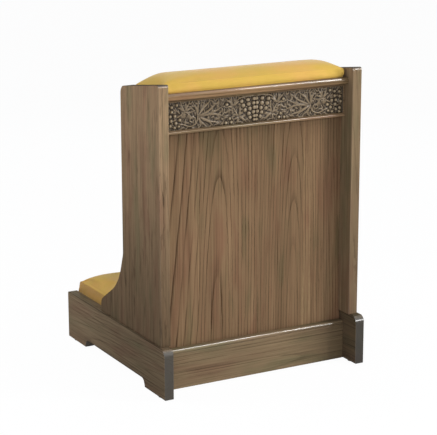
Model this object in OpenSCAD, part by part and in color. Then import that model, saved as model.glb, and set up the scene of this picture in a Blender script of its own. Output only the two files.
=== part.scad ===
// Prayer kneeler: two swept uprights on footed base rails, a panel front with a carved
// frieze, a padded sloping arm rest over a book shelf, and a padded kneeling board.
// Millimetres. X runs across, Y runs from the carved front to the kneeling side, Z is up.
// The origin is on the floor, under the middle of the base.

/* [Overall size] */
// Height of the uprights at their front, above the floor
overall_height = 815; // [740:1:900]
// Width over the base rails
base_width = 610; // [560:1:700]
// Length of the base rails, front to back
base_length = 604; // [585:1:680]

/* [Base rails] */
// Height of a base rail
rail_height = 134.5; // [120:0.5:150]
// Thickness of a base rail
rail_t = 27; // [24:0.5:32]
// How far a base rail reaches in front of the uprights
rail_lead = 28; // [20:1:40]
// How far a base rail stands out past the upright on it
rail_ledge = 5; // [2:0.5:8]
// Radius of a base rail's front top corner
rail_nose_r = 22; // [8:1:26]
// Radius of a base rail's rear top corner
rail_tail_r = 9; // [2:0.5:12]
// Length of each foot of a base rail, on the floor
foot_length = 114; // [90:1:150]
// Height of the arch between the feet
arch_height = 23; // [15:1:30]
// How far the arch leans back from its foot
arch_flare = 8; // [4:1:14]
// Radius of the arch's corners
arch_r = 28; // [15:1:34]
// Eased radius of the long edges of rails and uprights
edge_ease = 2.5; // [1:0.5:4]

/* [Uprights] */
// Thickness of an upright
upright_t = 28; // [24:1:32]
// Depth of an upright above its sweep
upright_depth = 217; // [200:1:240]
// Fall of the uprights' top towards the kneeling side, in degrees
top_slope = 8.5; // [5:0.5:12]
// Radius of an upright's front top corner
front_top_r = 9; // [4:1:14]
// Radius of an upright's rear top corner
rear_top_r = 22; // [10:1:30]
// Height above the rail where the sweep leaves the rear edge
sweep_start = 196; // [165:1:210]
// How far the sweep's knee stands behind the rear edge
knee_depth = 31; // [24:1:40]
// Height of the sweep's knee above the rail
knee_height = 106; // [96:1:116]
// Depth of an upright at its toe, measured from its front
toe_reach = 362; // [340:1:380]
// Height of the toe's shoulder above the rail
toe_height = 32; // [24:1:40]
// Radius where the sweep leaves the rear edge
sweep_soft_r = 40; // [20:1:50]
// Radius of the hollow of the sweep
sweep_r = 230; // [180:1:240]
// Radius of the toe's nose
toe_r = 31; // [15:1:35]

/* [Front] */
// How far the panel's face stands behind the uprights' front
panel_recess = 53.5; // [48:0.5:62]
// Thickness of the panel
panel_t = 18; // [12:1:20]
// How deep the panel and the shelf are let into each upright
housing_depth = 5; // [3:0.5:7]
// Height of the front plinth rail
plinth_height = 108; // [95:1:120]
// Thickness of the front plinth rail
plinth_t = 18; // [14:1:22]
// Radius of the plinth rail's top front edge
plinth_r = 10; // [4:1:12]
// Width and depth of the quirk cut under that rounded edge
plinth_quirk = 1.5; // [1:0.5:2.5]
// Height of the frieze board
frieze_height = 80; // [70:1:100]
// Thickness of the frieze board
frieze_t = 15; // [12:0.5:18]
// Width of the plain border round the frieze's sunk field
frieze_border = 5; // [3:0.5:8]
// Depth of the frieze's sunk field
frieze_sink = 7; // [4:0.5:9]
// Height of the bead under the frieze
bead_height = 7; // [5:0.5:9]
// How far the bead stands in front of the frieze board
bead_stand = 1.5; // [0:0.5:3]
// Thickness of the carving's ground, under its leaves and grapes
carving_ground = 1; // [0.5:0.25:1.5]

/* [Arm rest] */
// How far the arm rest board's top lies below the uprights' top edge, plumb
arm_drop = 25; // [20:0.5:32]
// How far the arm rest's nose stands behind the uprights' front
arm_setback = 22; // [18:0.5:28]
// Thickness of the arm rest board
arm_t = 18; // [15:1:20]
// Depth of the arm rest board along its slope
arm_depth = 192; // [180:1:205]
// Side of the square cleats under the arm rest
arm_cleat = 20; // [16:1:24]

/* [Arm rest pad] */
// How far the pad's front edge stands behind the arm rest's nose
arm_pad_setback = 7; // [4:0.5:12]
// Depth of the pad along the slope
arm_pad_depth = 178; // [165:1:190]
// Height of the pad at its edges
arm_pad_edge = 24; // [20:1:30]
// Height of the pad at its crown
arm_pad_crown = 50; // [42:1:56]
// Thickness of the pad's plywood board
arm_ply_t = 9; // [6:1:12]

/* [Book shelf] */
// How far the shelf's top lies below the uprights' top
shelf_drop = 193; // [150:1:240]
// Thickness of the shelf
shelf_t = 16; // [12:1:19]
// Depth of the shelf behind the panel
shelf_depth = 128; // [110:1:138]
// Height of the shelf's lip above the shelf
lip_rise = 22; // [14:1:30]
// Thickness of the lip
lip_t = 12; // [9:1:15]

/* [Kneeling board] */
// Height of the kneeling pad's underside above the base rails' foot
kneel_seat = 110; // [100:0.5:118]
// Length of the kneeling pad, front to back
kneel_length = 318; // [290:1:335]
// Height of the kneeling pad at its edges
kneel_edge = 48; // [34:1:52]
// Height of the kneeling pad at its crown
kneel_crown = 76; // [70:1:92]
// Thickness of the kneeling pad's plywood board
kneel_ply_t = 12; // [9:1:15]
// Thickness of the cross rails under the kneeling pad
cross_t = 20; // [16:1:24]
// Height of the cross rails under the kneeling pad
cross_height = 84; // [70:1:95]
// How far the rear cross rail stands inside the base rails' ends
cross_inset = 4; // [2:0.5:8]
// Width of the cleats along the base rails
kneel_cleat_w = 32; // [28:1:38]
// Height of the cleats along the base rails
kneel_cleat_h = 28; // [22:1:34]

/* [Fasteners and small pieces] */
// Diameter of the dowels between uprights and rails
foot_dowel_d = 10; // [8:1:12]
// Length of the dowels between uprights and rails
foot_dowel_l = 60; // [50:1:70]
// Diameter of the dowels at the cross rails' ends
cross_dowel_d = 8; // [6:1:10]
// Length of the dowels at the cross rails' ends
cross_dowel_l = 38; // [30:1:44]
// Shank diameter of the wood screws
screw_d = 4; // [3.5:0.5:5]
// Head diameter of the wood screws
screw_head_d = 8; // [7:0.5:9]
// Leg of the triangular glue blocks
block_leg = 32; // [24:1:40]
// Diameter of the glides
glide_d = 22; // [18:1:24]
// Height of the glides under the rails
glide_h = 2.5; // [1.5:0.5:4]
// Play left round pieces that slot together
play = 0.15; // [0.1:0.05:0.2]
// Clearance between upholstery and wood
pad_gap = 0.4; // [0.3:0.1:1]

/* [Hidden] */

$fn = 48;
// Largest turn between two points of a rounded corner, in degrees
arc_step = 6;
// Largest share of a leg that one rounded corner may take
leg_share = 0.495;
// Overrun of every cut
cut = 1;
// Share of a board's thickness that each corner of a full round takes
nose_share = 0.475;
// Share of a pad's plywood that its screws bite
ply_bite_share = 0.8;

oak = [0.45, 0.34, 0.24];
oak_dark = [0.36, 0.28, 0.21];
plywood = [0.74, 0.60, 0.42];
foam = [0.93, 0.88, 0.70];
cloth = [0.84, 0.66, 0.30];
steel = [0.72, 0.72, 0.70];
nylon = [0.25, 0.22, 0.20];

// Faces and levels that several pieces share
half_outer = base_width / 2;
half_inner = half_outer - rail_t;
upright_outer = half_outer - rail_ledge;
upright_inner = upright_outer - upright_t;
rail_top = glide_h + rail_height;
front_y = rail_lead - base_length / 2;
tail_y = base_length / 2;
panel_front = front_y + panel_recess;
panel_back = panel_front + panel_t;
panel_foot_share = 0.25;
panel_foot = glide_h + plinth_height * panel_foot_share;
housed_half = upright_inner + housing_depth;
board_half = upright_inner - play;
plinth_top = glide_h + plinth_height;
frieze_front = panel_front - frieze_t;
dowel_x = (max(upright_inner, half_inner) + min(upright_outer, half_outer)) / 2;
shelf_top = overall_height - shelf_drop;
shelf_foot = shelf_top - shelf_t;
shelf_rear = panel_back + shelf_depth;

// Height of the uprights' top edge, the arm rest's top and its underside at a place in Y
function top_line(y) = overall_height - (y - front_y) * tan(top_slope);
function arm_line(y) = top_line(y) - arm_drop;
function arm_under(y) = arm_line(y) - arm_t / cos(top_slope);

frieze_foot = arm_under(frieze_front) - frieze_height;
// The frieze's sunk field: half its length, its foot and its height
field_half = board_half - frieze_border;
field_foot = frieze_foot + frieze_border / 2;
field_height = frieze_height - frieze_border * 3 / 2;

// The arm rest's own axes: Y down the slope from the nose, Z square to the board's top
arm_tip_y = front_y + arm_setback;
arm_tip_z = arm_line(arm_tip_y);

// Levels and ends of the kneeling board
kneel_z = glide_h + kneel_seat;
kneel_rear = tail_y - pad_gap;
kneel_front = kneel_rear - kneel_length;
kneel_mid = (kneel_front + kneel_rear) / 2;
cross_rear_y = tail_y - cross_inset;
cross_front_y = kneel_front + cross_t;
cross_foot = kneel_z - cross_height;

// Corner of a rounded outline: the arc that joins the two legs at b, never longer than them
function unit(v) = v / norm(v);
function fillet(a, b, c) =
    let (
        p = [b[0], b[1]],
        leg_in = [a[0], a[1]] - p,
        leg_out = [c[0], c[1]] - p,
        u = unit(leg_in),
        v = unit(leg_out),
        half = acos(max(-1, min(1, u * v))) / 2,
        reach = min(b[2] / tan(half), norm(leg_in) * leg_share, norm(leg_out) * leg_share),
        r = reach * tan(half),
        centre = p + unit(u + v) * r / sin(half),
        from = p + u * reach - centre,
        turn = 180 - 2 * half,
        side = sign(u[0] * v[1] - u[1] * v[0]),
        steps = max(1, ceil(turn / arc_step))
    )
    b[2] == 0 ? [p] :
    [for (i = [0 : steps])
        let (t = side * -turn * i / steps)
        centre + [from[0] * cos(t) - from[1] * sin(t), from[0] * sin(t) + from[1] * cos(t)]];
function outline(c) =
    let (n = len(c))
    [for (i = [0 : n - 1]) each fillet(c[(i + n - 1) % n], c[i], c[(i + 1) % n])];

// A solid of one side outline, in Y and Z, that runs along X
module along_x(points, x, length) {
    translate([x, 0, 0]) rotate([90, 0, 90]) linear_extrude(length) polygon(points);
}

// A bar with four eased long edges, along Y, for easing the long edges of a side board
module eased_along_y(x0, x1, z0, z1, y0, y1) {
    points = outline([[x0, z0, edge_ease], [x1, z0, edge_ease], [x1, z1, edge_ease], [x0, z1, edge_ease]]);
    translate([0, y1, 0]) rotate([90, 0, 0]) linear_extrude(y1 - y0) polygon(points);
}
module eased_along_z(x0, x1, y0, y1, z0, z1) {
    points = outline([[x0, y0, edge_ease], [x1, y0, edge_ease], [x1, y1, edge_ease], [x0, y1, edge_ease]]);
    translate([0, 0, z0]) linear_extrude(z1 - z0) polygon(points);
}

module box_between(a, b) {
    translate(a) cube(b - a);
}

// Moves to the arm rest's own axes
module on_arm_rest() {
    translate([0, arm_tip_y, arm_tip_z]) rotate([-top_slope, 0, 0]) children();
}

// Form of the pads: swell of their sides, how far the sides are drawn in between the corners
// and at the foot, and how far the corners are pulled in
pad_swell = 2;
pad_pinch = 3;
pad_tuck = 2.5;
pad_corner = 7;
// Thickness of cover and wadding round a pad's plywood board
cover_t = 3;
board_inset = pad_swell + pad_tuck + cover_t;
kneel_board_half = min(half_inner, upright_inner) - board_inset;

// Places of the fasteners
foot_dowel_depth_shares = [0.12, 0.75];
toe_dowel_share = 0.8;
foot_dowel_y = concat(
    [for (share = foot_dowel_depth_shares) front_y + upright_depth * share],
    [front_y + toe_reach - foot_dowel_l * toe_dowel_share]
);
cross_dowel_z_shares = [0.3, 0.75];
arm_screw_out_share = 0.62;
arm_screw_x = [-board_half * arm_screw_out_share, board_half * arm_screw_out_share];
arm_screw_y_shares = [0.25, 0.75];
kneel_screw_y_shares = [0.4, 0.85];
cleat_screw_y_shares = [0.2, 0.8];

// A wood screw that points along +Z from its flat head at the origin
module screw(length, extra) {
    head = (screw_head_d - screw_d) / 2;
    cylinder(d1 = screw_head_d + 2 * extra, d2 = screw_d + 2 * extra, h = head);
    cylinder(d = screw_d + 2 * extra, h = length + extra);
}
module dowel_z(d, length) {
    cylinder(d = d, h = length, center = true);
}
module dowel_x(d, length) {
    rotate([0, 90, 0]) cylinder(d = d, h = length, center = true);
}

module foot_dowels(side, extra) {
    for (y = foot_dowel_y)
        translate([side * dowel_x, y, rail_top])
            dowel_z(foot_dowel_d + 2 * extra, foot_dowel_l + 2 * extra);
}

// Every cross rail's dowels: the middle of the rail in Y, its foot and its height
cross_rails = [
    [panel_front - plinth_t / 2, glide_h, plinth_height],
    [cross_front_y - cross_t / 2, cross_foot, cross_height],
    [cross_rear_y - cross_t / 2, cross_foot, cross_height]
];
module cross_dowels(side, extra) {
    for (r = cross_rails, share = cross_dowel_z_shares)
        translate([side * half_inner, r[0], r[1] + r[2] * share])
            dowel_x(cross_dowel_d + 2 * extra, cross_dowel_l + 2 * extra);
}

// Screws through the cleats into the uprights and rails, pointing outwards
arm_cleat_y0 = panel_back - arm_tip_y;
arm_cleat_y1 = arm_depth - arm_cleat / 2;
kneel_cleat_y0 = cross_front_y;
kneel_cleat_y1 = cross_rear_y - cross_t;
cleat_screw_bite_share = 0.45;
cleat_screw_bite = upright_t * cleat_screw_bite_share;
module cleat_screws_on(side, extra) {
    on_arm_rest()
        for (share = cleat_screw_y_shares)
            translate([
                side * (upright_inner - arm_cleat),
                arm_cleat_y0 + (arm_cleat_y1 - arm_cleat_y0) * share,
                -arm_t - arm_cleat / 2
            ])
                rotate([0, side * 90, 0]) screw(arm_cleat + cleat_screw_bite, extra);
    for (share = cleat_screw_y_shares)
        translate([
            side * (half_inner - kneel_cleat_w),
            kneel_cleat_y0 + (kneel_cleat_y1 - kneel_cleat_y0) * share,
            kneel_z - kneel_cleat_h / 2
        ])
            rotate([0, side * 90, 0]) screw(kneel_cleat_w + cleat_screw_bite, extra);
}
module pad_screws_arm(extra) {
    on_arm_rest()
        for (x = arm_screw_x, share = arm_screw_y_shares)
            translate([x, arm_pad_setback + arm_pad_depth * share, -arm_t])
                screw(arm_t + arm_ply_t * ply_bite_share, extra);
}
module pad_screws_kneeler(side, extra) {
    for (share = kneel_screw_y_shares)
        translate([
            side * (kneel_board_half - screw_head_d),
            kneel_cleat_y0 + (kneel_cleat_y1 - kneel_cleat_y0) * share,
            kneel_z - kneel_cleat_h
        ])
            screw(kneel_cleat_h + kneel_ply_t * ply_bite_share, extra);
}

// Glides: a disc under the rail and its nail, at both feet of a rail
glide_inset = foot_length / 3;
nail_d = screw_d / 2;
nail_l = screw_d * 3;
module rail_glides(side, extra) {
    for (y = [front_y - rail_lead + glide_inset, tail_y - glide_inset])
        translate([side * (half_inner + rail_t / 2), y, 0]) {
            if (extra == 0) cylinder(d = glide_d, h = glide_h);
            cylinder(d = nail_d + 2 * extra, h = glide_h + nail_l + extra);
        }
}

// The left and right side boards
function upright_outline() = outline([
    [front_y, rail_top, 0],
    [front_y, overall_height, front_top_r],
    [front_y + upright_depth, top_line(front_y + upright_depth), rear_top_r],
    [front_y + upright_depth, rail_top + sweep_start, sweep_soft_r],
    [front_y + upright_depth + knee_depth, rail_top + knee_height, sweep_r],
    [front_y + toe_reach, rail_top + toe_height, toe_r],
    [front_y + toe_reach, rail_top, 0]
]);
module upright(side) {
    x0 = side > 0 ? upright_inner : -upright_outer;
    inner = side * upright_inner;
    housed = side * (housed_half + play);
    difference() {
        intersection() {
            along_x(upright_outline(), x0, upright_t);
            eased_along_z(x0, x0 + upright_t, front_y, front_y + toe_reach, rail_top, overall_height);
        }
        // housing of the panel
        box_between(
            [min(inner, housed) - (side > 0 ? cut : 0), panel_front - play, rail_top - cut],
            [max(inner, housed) + (side > 0 ? 0 : cut), panel_back + play, arm_under(panel_front)]
        );
        // stopped housing of the shelf
        box_between(
            [min(inner, housed) - (side > 0 ? cut : 0), panel_back, shelf_foot - play],
            [max(inner, housed) + (side > 0 ? 0 : cut), shelf_rear - lip_t + play, shelf_top + play]
        );
        foot_dowels(side, play);
        cleat_screws_on(side, play);
    }
}
module left_upright() {
    color(oak) upright(-1);
}
module right_upright() {
    color(oak) upright(1);
}

// The base rails: a rounded nose, two feet and the arch between them
function rail_outline() =
    let (
        head = front_y - rail_lead,
        toe = head + foot_length,
        heel = tail_y - foot_length,
        arch_top = glide_h + arch_height
    )
    outline([
        [head, glide_h, 0],
        [head, rail_top, rail_nose_r],
        [tail_y, rail_top, rail_tail_r],
        [tail_y, glide_h, 0],
        [heel, glide_h, 0],
        [heel - arch_flare, arch_top, arch_r],
        [toe + arch_flare, arch_top, arch_r],
        [toe, glide_h, 0]
    ]);
module base_rail(side) {
    x0 = side > 0 ? half_inner : -half_outer;
    difference() {
        intersection() {
            along_x(rail_outline(), x0, rail_t);
            eased_along_y(x0, x0 + rail_t, glide_h, rail_top, front_y - rail_lead, tail_y);
            eased_along_z(x0, x0 + rail_t, front_y - rail_lead, tail_y, glide_h, rail_top);
        }
        foot_dowels(side, play);
        cross_dowels(side, play);
        cleat_screws_on(side, play);
        rail_glides(side, play);
    }
}
module left_base_rail() {
    color(oak_dark) base_rail(-1);
}
module right_base_rail() {
    color(oak_dark) base_rail(1);
}

// The plinth rail in front of the panel's foot, with a quirk under its rounded edge
module front_plinth_rail() {
    face = panel_front - plinth_t;
    quirk_top = plinth_top - plinth_r;
    color(oak)
        difference() {
            along_x(outline([
                [face, glide_h, 0],
                [face, plinth_top, plinth_r],
                [panel_front, plinth_top, 0],
                [panel_front, glide_h, 0]
            ]), -half_inner, 2 * half_inner);
            box_between(
                [-half_inner - cut, face - cut, quirk_top - plinth_quirk],
                [half_inner + cut, face + plinth_quirk, quirk_top]
            );
            cross_dowels(-1, play);
            cross_dowels(1, play);
        }
}

// The panel: housed in the uprights, glued behind the plinth rail, its top cut to the slope
module front_panel() {
    foot = panel_foot;
    half = min(housed_half, half_inner - play);
    color(oak)
        along_x([
            [panel_front, foot],
            [panel_front, arm_under(panel_front)],
            [panel_back, arm_under(panel_back)],
            [panel_back, foot]
        ], -half, 2 * half);
}

// The frieze board with its sunk field
module frieze_board() {
    color(oak_dark)
        difference() {
            along_x([
                [frieze_front, frieze_foot],
                [frieze_front, arm_under(frieze_front)],
                [panel_front, arm_under(panel_front)],
                [panel_front, frieze_foot]
            ], -board_half, 2 * board_half);
            box_between(
                [-field_half, frieze_front - cut, field_foot],
                [field_half, frieze_front + frieze_sink, field_foot + field_height]
            );
        }
}

// The carving glued into the sunk field: a vine on a thin ground, its two halves mirrored.
// Places are shares of the field, out from its middle and up from its foot; radii, lengths and
// half widths are shares of its height. Angles are in degrees, 0 outwards and 90 up.
grape_shares = [
    [0.012, 0.86, 0.08], [0.08, 0.84, 0.085], [0.15, 0.80, 0.085],
    [0.02, 0.70, 0.08], [0.075, 0.67, 0.09], [0.135, 0.64, 0.09],
    [0.012, 0.54, 0.08], [0.062, 0.50, 0.085], [0.118, 0.47, 0.085],
    [0.02, 0.38, 0.08], [0.07, 0.33, 0.085], [0.012, 0.23, 0.075], [0.058, 0.19, 0.08],
    [0.013, 0.09, 0.065],
    [0.325, 0.07, 0.07], [0.265, 0.08, 0.07], [0.285, 0.22, 0.065], [0.315, 0.73, 0.07],
    [0.875, 0.50, 0.07], [0.825, 0.36, 0.07], [0.865, 0.25, 0.07], [0.915, 0.34, 0.07],
    [0.98, 0.43, 0.07], [0.97, 0.20, 0.07], [0.925, 0.16, 0.065], [0.88, 0.09, 0.06],
    [0.925, 0.50, 0.065], [0.97, 0.62, 0.065], [0.91, 0.66, 0.065], [0.965, 0.80, 0.065],
    [0.91, 0.83, 0.065], [0.855, 0.88, 0.065], [0.965, 0.07, 0.06], [0.835, 0.13, 0.06]
];
leaf_shares = [
    [[0.63, 0.41], [
        [165, 1.02, 0.075], [183, 1.02, 0.075], [198, 0.88, 0.07], [211, 0.71, 0.07],
        [227, 0.55, 0.065], [250, 0.38, 0.065], [150, 0.96, 0.07], [135, 0.76, 0.07],
        [117, 0.63, 0.07], [96, 0.56, 0.075], [70, 0.56, 0.07]
    ]],
    [[0.765, 0.61], [
        [120, 0.38, 0.065], [93, 0.38, 0.065], [64, 0.38, 0.065], [32, 0.33, 0.06],
        [155, 0.30, 0.06], [185, 0.26, 0.055], [320, 0.27, 0.055], [283, 0.26, 0.055]
    ]],
    [[0.187, 0.27], [
        [215, 0.38, 0.07], [180, 0.30, 0.065], [142, 0.30, 0.06], [100, 0.34, 0.065],
        [60, 0.28, 0.06], [22, 0.26, 0.06], [332, 0.22, 0.055], [275, 0.26, 0.06]
    ]],
    [[0.247, 0.64], [
        [150, 0.41, 0.06], [115, 0.36, 0.06], [80, 0.36, 0.06], [45, 0.41, 0.06], [12, 0.34, 0.055]
    ]]
];
stem_shares = [
    [[0.195, 0.30], [0.222, 0.46], [0.24, 0.58]],
    [[0.63, 0.41], [0.648, 0.19], [0.70, 0.09], [0.75, 0.12], [0.80, 0.19], [0.87, 0.17]],
    [[0.655, 0.17], [0.66, 0.37], [0.70, 0.41], [0.716, 0.29], [0.69, 0.24]],
    [[0.70, 0.41], [0.765, 0.61], [0.825, 0.50], [0.88, 0.42]],
    [[0, 0.95], [0.08, 0.97], [0.17, 0.92], [0.23, 0.72]]
];
stem_half_share = 0.045;
stem_top_share = 0.75;
leaf_top_share = 0.88;
grape_top_share = 0.97;
// Places along a lobe with its half width there, and with its ridge's height there
lobe_width_shares = [[0, 0.5], [0.35, 0.9], [0.7, 1], [0.93, 0.6], [1, 0.2]];
lobe_ridge_shares = [[0, 0.6], [0.35, 0.9], [0.7, 1], [0.93, 0.8], [1, 0.3]];
carving_top = frieze_sink - play;
carving_half = field_half - play;
carving_foot = field_foot + play;
carving_height = field_height - 2 * play;
// How many cells the carved face has across and up, an even number across
carving_columns = 164;
carving_rows = 23;
// How far round each corner of a cell its height is averaged, of half the cell
spread_share = 0.6;

// A lobe's place, direction and sizes, worked out once for the whole carving
lobes = [for (leaf = leaf_shares, l = leaf[1]) [
    [leaf[0][0] * field_half, leaf[0][1] * field_height],
    [cos(l[0]), sin(l[0])], l[1] * field_height, l[2] * field_height
]];
grapes = [for (g = grape_shares) [[g[0] * field_half, g[1] * field_height], g[2] * field_height]];
stems = [for (s = stem_shares, k = [1 : len(s) - 1]) [for (p = [s[k - 1], s[k]])
    [p[0] * field_half, p[1] * field_height]]];
stem_half = stem_half_share * field_height;

// Height of one grape, lobe or stem at the place p of the field
function bulge(distance, reach) = distance < reach ? 1 - (distance / reach) ^ 2 : 0;
function grape_height(p, g) = grape_top_share * bulge(norm(p - g[0]), g[1]);
function lobe_height(p, l) =
    let (
        along = (p - l[0]) * l[1],
        aside = abs(cross(p - l[0], l[1])),
        half = l[3] * lookup(along / l[2], lobe_width_shares)
    )
    along < 0 || along > l[2] || aside > half ? 0
        : leaf_top_share * lookup(along / l[2], lobe_ridge_shares) * (1 - aside / half);
function stem_height(p, s) =
    let (run = s[1] - s[0], along = max(0, min(1, (p - s[0]) * run / (run * run))))
    stem_top_share * bulge(norm(p - s[0] - run * along), stem_half);
function carved_height(p) = max(
    carving_ground,
    carving_top * max([for (g = grapes) grape_height(p, g)]),
    carving_top * max([for (l = lobes) lobe_height(p, l)]),
    carving_top * max([for (s = stems) stem_height(p, s)])
);
function softened_height(p) =
    let (
        spread = spread_share * carving_half / carving_columns,
        around = [for (a = [-1, 1], b = [-1, 1]) carved_height(p + [a, b] * spread)]
    )
    around * [for (h = around) 1 / len(around)];
// Two triangles of a cell, parted along its more level diagonal
function cell_faces(c, h) =
    abs(h[c[0]] - h[c[2]]) < abs(h[c[1]] - h[c[3]])
        ? [[c[0], c[1], c[2]], [c[0], c[2], c[3]]]
        : [[c[0], c[1], c[3]], [c[1], c[2], c[3]]];

module frieze_carving() {
    columns = carving_columns;
    rows = carving_rows;
    middle = floor(rows / 2);
    half_heights = [for (i = [0 : columns / 2], j = [0 : rows])
        softened_height([2 * carving_half * i / columns, play + carving_height * j / rows])];
    heights = [for (i = [0 : columns], j = [0 : rows])
        half_heights[abs(i - columns / 2) * (rows + 1) + j]];
    floor_y = frieze_front + frieze_sink;
    back = len(heights);
    function place(i, y, j) = [
        carving_half * (2 * i / columns - 1), y, carving_foot + carving_height * j / rows
    ];
    function at(i, j) = i * (rows + 1) + j;
    function foot_at(i) = back + 2 * i;
    function head_at(i) = back + 2 * i + 1;
    color(oak_dark)
        polyhedron(
            concat(
                [for (i = [0 : columns], j = [0 : rows]) place(i, floor_y - heights[at(i, j)], j)],
                [for (i = [0 : columns], j = [0, rows]) place(i, floor_y, j)]
            ),
            concat(
                [for (i = [1 : columns], j = [1 : rows])
                    each cell_faces([at(i - 1, j - 1), at(i - 1, j), at(i, j), at(i, j - 1)], heights)],
                [for (i = [1 : columns]) each [
                    [at(i - 1, 0), at(i, 0), foot_at(i)],
                    [at(i - 1, 0), foot_at(i), foot_at(i - 1)],
                    [at(i, rows), at(i - 1, rows), head_at(i - 1)],
                    [at(i, rows), head_at(i - 1), head_at(i)],
                    [foot_at(i - 1), foot_at(i), head_at(i)],
                    [foot_at(i - 1), head_at(i), head_at(i - 1)]
                ]],
                [for (j = [1 : rows]) each [
                    [at(0, j), at(0, j - 1), j > middle ? head_at(0) : foot_at(0)],
                    [at(columns, j - 1), at(columns, j), j > middle ? head_at(columns) : foot_at(columns)]
                ]],
                [
                    [at(0, middle), foot_at(0), head_at(0)],
                    [at(columns, middle), head_at(columns), foot_at(columns)]
                ]
            )
        );
}

// The bead under the frieze
module frieze_bead() {
    nose = bead_height * nose_share;
    color(oak)
        along_x(outline([
            [frieze_front - bead_stand, frieze_foot - bead_height, nose],
            [frieze_front - bead_stand, frieze_foot, nose],
            [panel_front, frieze_foot, 0],
            [panel_front, frieze_foot - bead_height, 0]
        ]), -board_half, 2 * board_half);
}

// The arm rest board, its rounded nose to the front
module arm_rest_board() {
    nose = arm_t * nose_share;
    color(oak)
        difference() {
            on_arm_rest()
                along_x(outline([
                    [0, -arm_t, nose],
                    [0, 0, nose],
                    [arm_depth, 0, edge_ease],
                    [arm_depth, -arm_t, edge_ease]
                ]), -board_half, 2 * board_half);
            pad_screws_arm(play);
        }
}
module arm_cleat_piece(side) {
    x0 = side > 0 ? upright_inner - arm_cleat : -upright_inner;
    color(oak_dark)
        difference() {
            on_arm_rest()
                box_between(
                    [x0, arm_cleat_y0, -arm_t - arm_cleat],
                    [x0 + arm_cleat, arm_cleat_y1, -arm_t]
                );
            box_between(
                [-half_outer, panel_front, shelf_top],
                [half_outer, panel_back, overall_height]
            );
            cleat_screws_on(side, play);
        }
}
module left_arm_cleat() {
    arm_cleat_piece(-1);
}
module right_arm_cleat() {
    arm_cleat_piece(1);
}

// The shelf, housed in the uprights, and its lip
module book_shelf() {
    color(oak)
        box_between(
            [-housed_half, panel_back, shelf_foot],
            [housed_half, shelf_rear - lip_t, shelf_top]
        );
}
module shelf_lip() {
    round_over = lip_t / 3;
    color(oak)
        along_x(outline([
            [shelf_rear - lip_t, shelf_foot, 0],
            [shelf_rear - lip_t, shelf_top + lip_rise, round_over],
            [shelf_rear, shelf_top + lip_rise, round_over],
            [shelf_rear, shelf_foot, round_over]
        ]), -board_half, 2 * board_half);
}

// The cross rails and cleats that carry the kneeling pad
module cross_rail(y) {
    color(oak_dark)
        difference() {
            box_between([-half_inner, y - cross_t, cross_foot], [half_inner, y, kneel_z]);
            cross_dowels(-1, play);
            cross_dowels(1, play);
        }
}
module kneeler_front_rail() {
    cross_rail(cross_front_y);
}
module kneeler_rear_rail() {
    cross_rail(cross_rear_y);
}
module kneeler_cleat(side) {
    x0 = side > 0 ? half_inner - kneel_cleat_w : -half_inner;
    color(oak_dark)
        difference() {
            box_between(
                [x0, kneel_cleat_y0, kneel_z - kneel_cleat_h],
                [x0 + kneel_cleat_w, kneel_cleat_y1, kneel_z]
            );
            cleat_screws_on(side, play);
            pad_screws_kneeler(side, play);
        }
}
module left_kneeler_cleat() {
    kneeler_cleat(-1);
}
module right_kneeler_cleat() {
    kneeler_cleat(1);
}

// Triangular glue blocks in the base's corners
block_z0 = panel_foot;
block_front_z1 = plinth_top;
block_rear_z1 = kneel_z - kneel_cleat_h;
module glue_block(side, y, dir, z1) {
    translate([side * half_inner, y, max(block_z0, cross_foot)])
        linear_extrude(z1 - max(block_z0, cross_foot))
            polygon([[0, 0], [-side * block_leg, 0], [0, dir * block_leg]]);
}
module corner_blocks() {
    color(oak_dark)
        for (side = [-1, 1]) {
            glue_block(side, panel_back, 1, block_front_z1);
            glue_block(side, cross_front_y, 1, block_rear_z1);
            glue_block(side, cross_rear_y - cross_t, -1, block_rear_z1);
        }
}

// Upholstery. A pad is a grid of points: its top crowned, its sides swelling a little and
// drawn in between the corners, its underside flat. Its outline, u across and v along, is
// shared by the cover, the pocket in it, the foam and the plywood board.
pad_columns = 22;
pad_rows = 6;
// How sharply the crown falls at the ends and at the front and back, and the corners' pull
arm_fall_shares = [16, 2.3];
kneel_fall_shares = [11, 4.5];
corner_share = 8;
side_shares = [0.82, 0.5, 0.2, 0];
// Thickness of cover and wadding over the foam
arm_wadding_t = 4;
kneel_wadding_t = 5;

pad_us = [for (k = [0 : pad_columns]) sin(90 * (2 * k / pad_columns - 1))];
// Rows along a pad, closest at its edges, with a row at each of two places
function pad_vs(from, to) = concat(
    [for (k = [0 : pad_rows]) from - (from + 1) * cos(90 * k / pad_rows)],
    [for (k = [(from == to ? 1 : 0) : pad_rows]) to + (1 - to) * sin(90 * k / pad_rows)]
);
function pad_place(u, v, half, reach) =
    let (pull = pow(abs(u * v), corner_share) * pad_corner)
    [
        u * (half - pad_pinch * (1 - v * v)) - sign(u) * pull,
        v * (reach - pad_pinch * (1 - u * u)) - sign(v) * pull
    ];
function pad_rise(u, v, edge, crown, falls) =
    edge + (crown - edge) * (1 - pow(abs(u), falls[0])) * (1 - pow(abs(v), falls[1]));
// The top's points, row by row; halves is the half width at each row
function pad_top(vs, halves, reach, edge, crown, falls) =
    [for (j = [0 : len(vs) - 1], u = pad_us)
        concat(pad_place(u, vs[j], halves[j], reach), pad_rise(u, vs[j], edge, crown, falls))];
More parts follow.
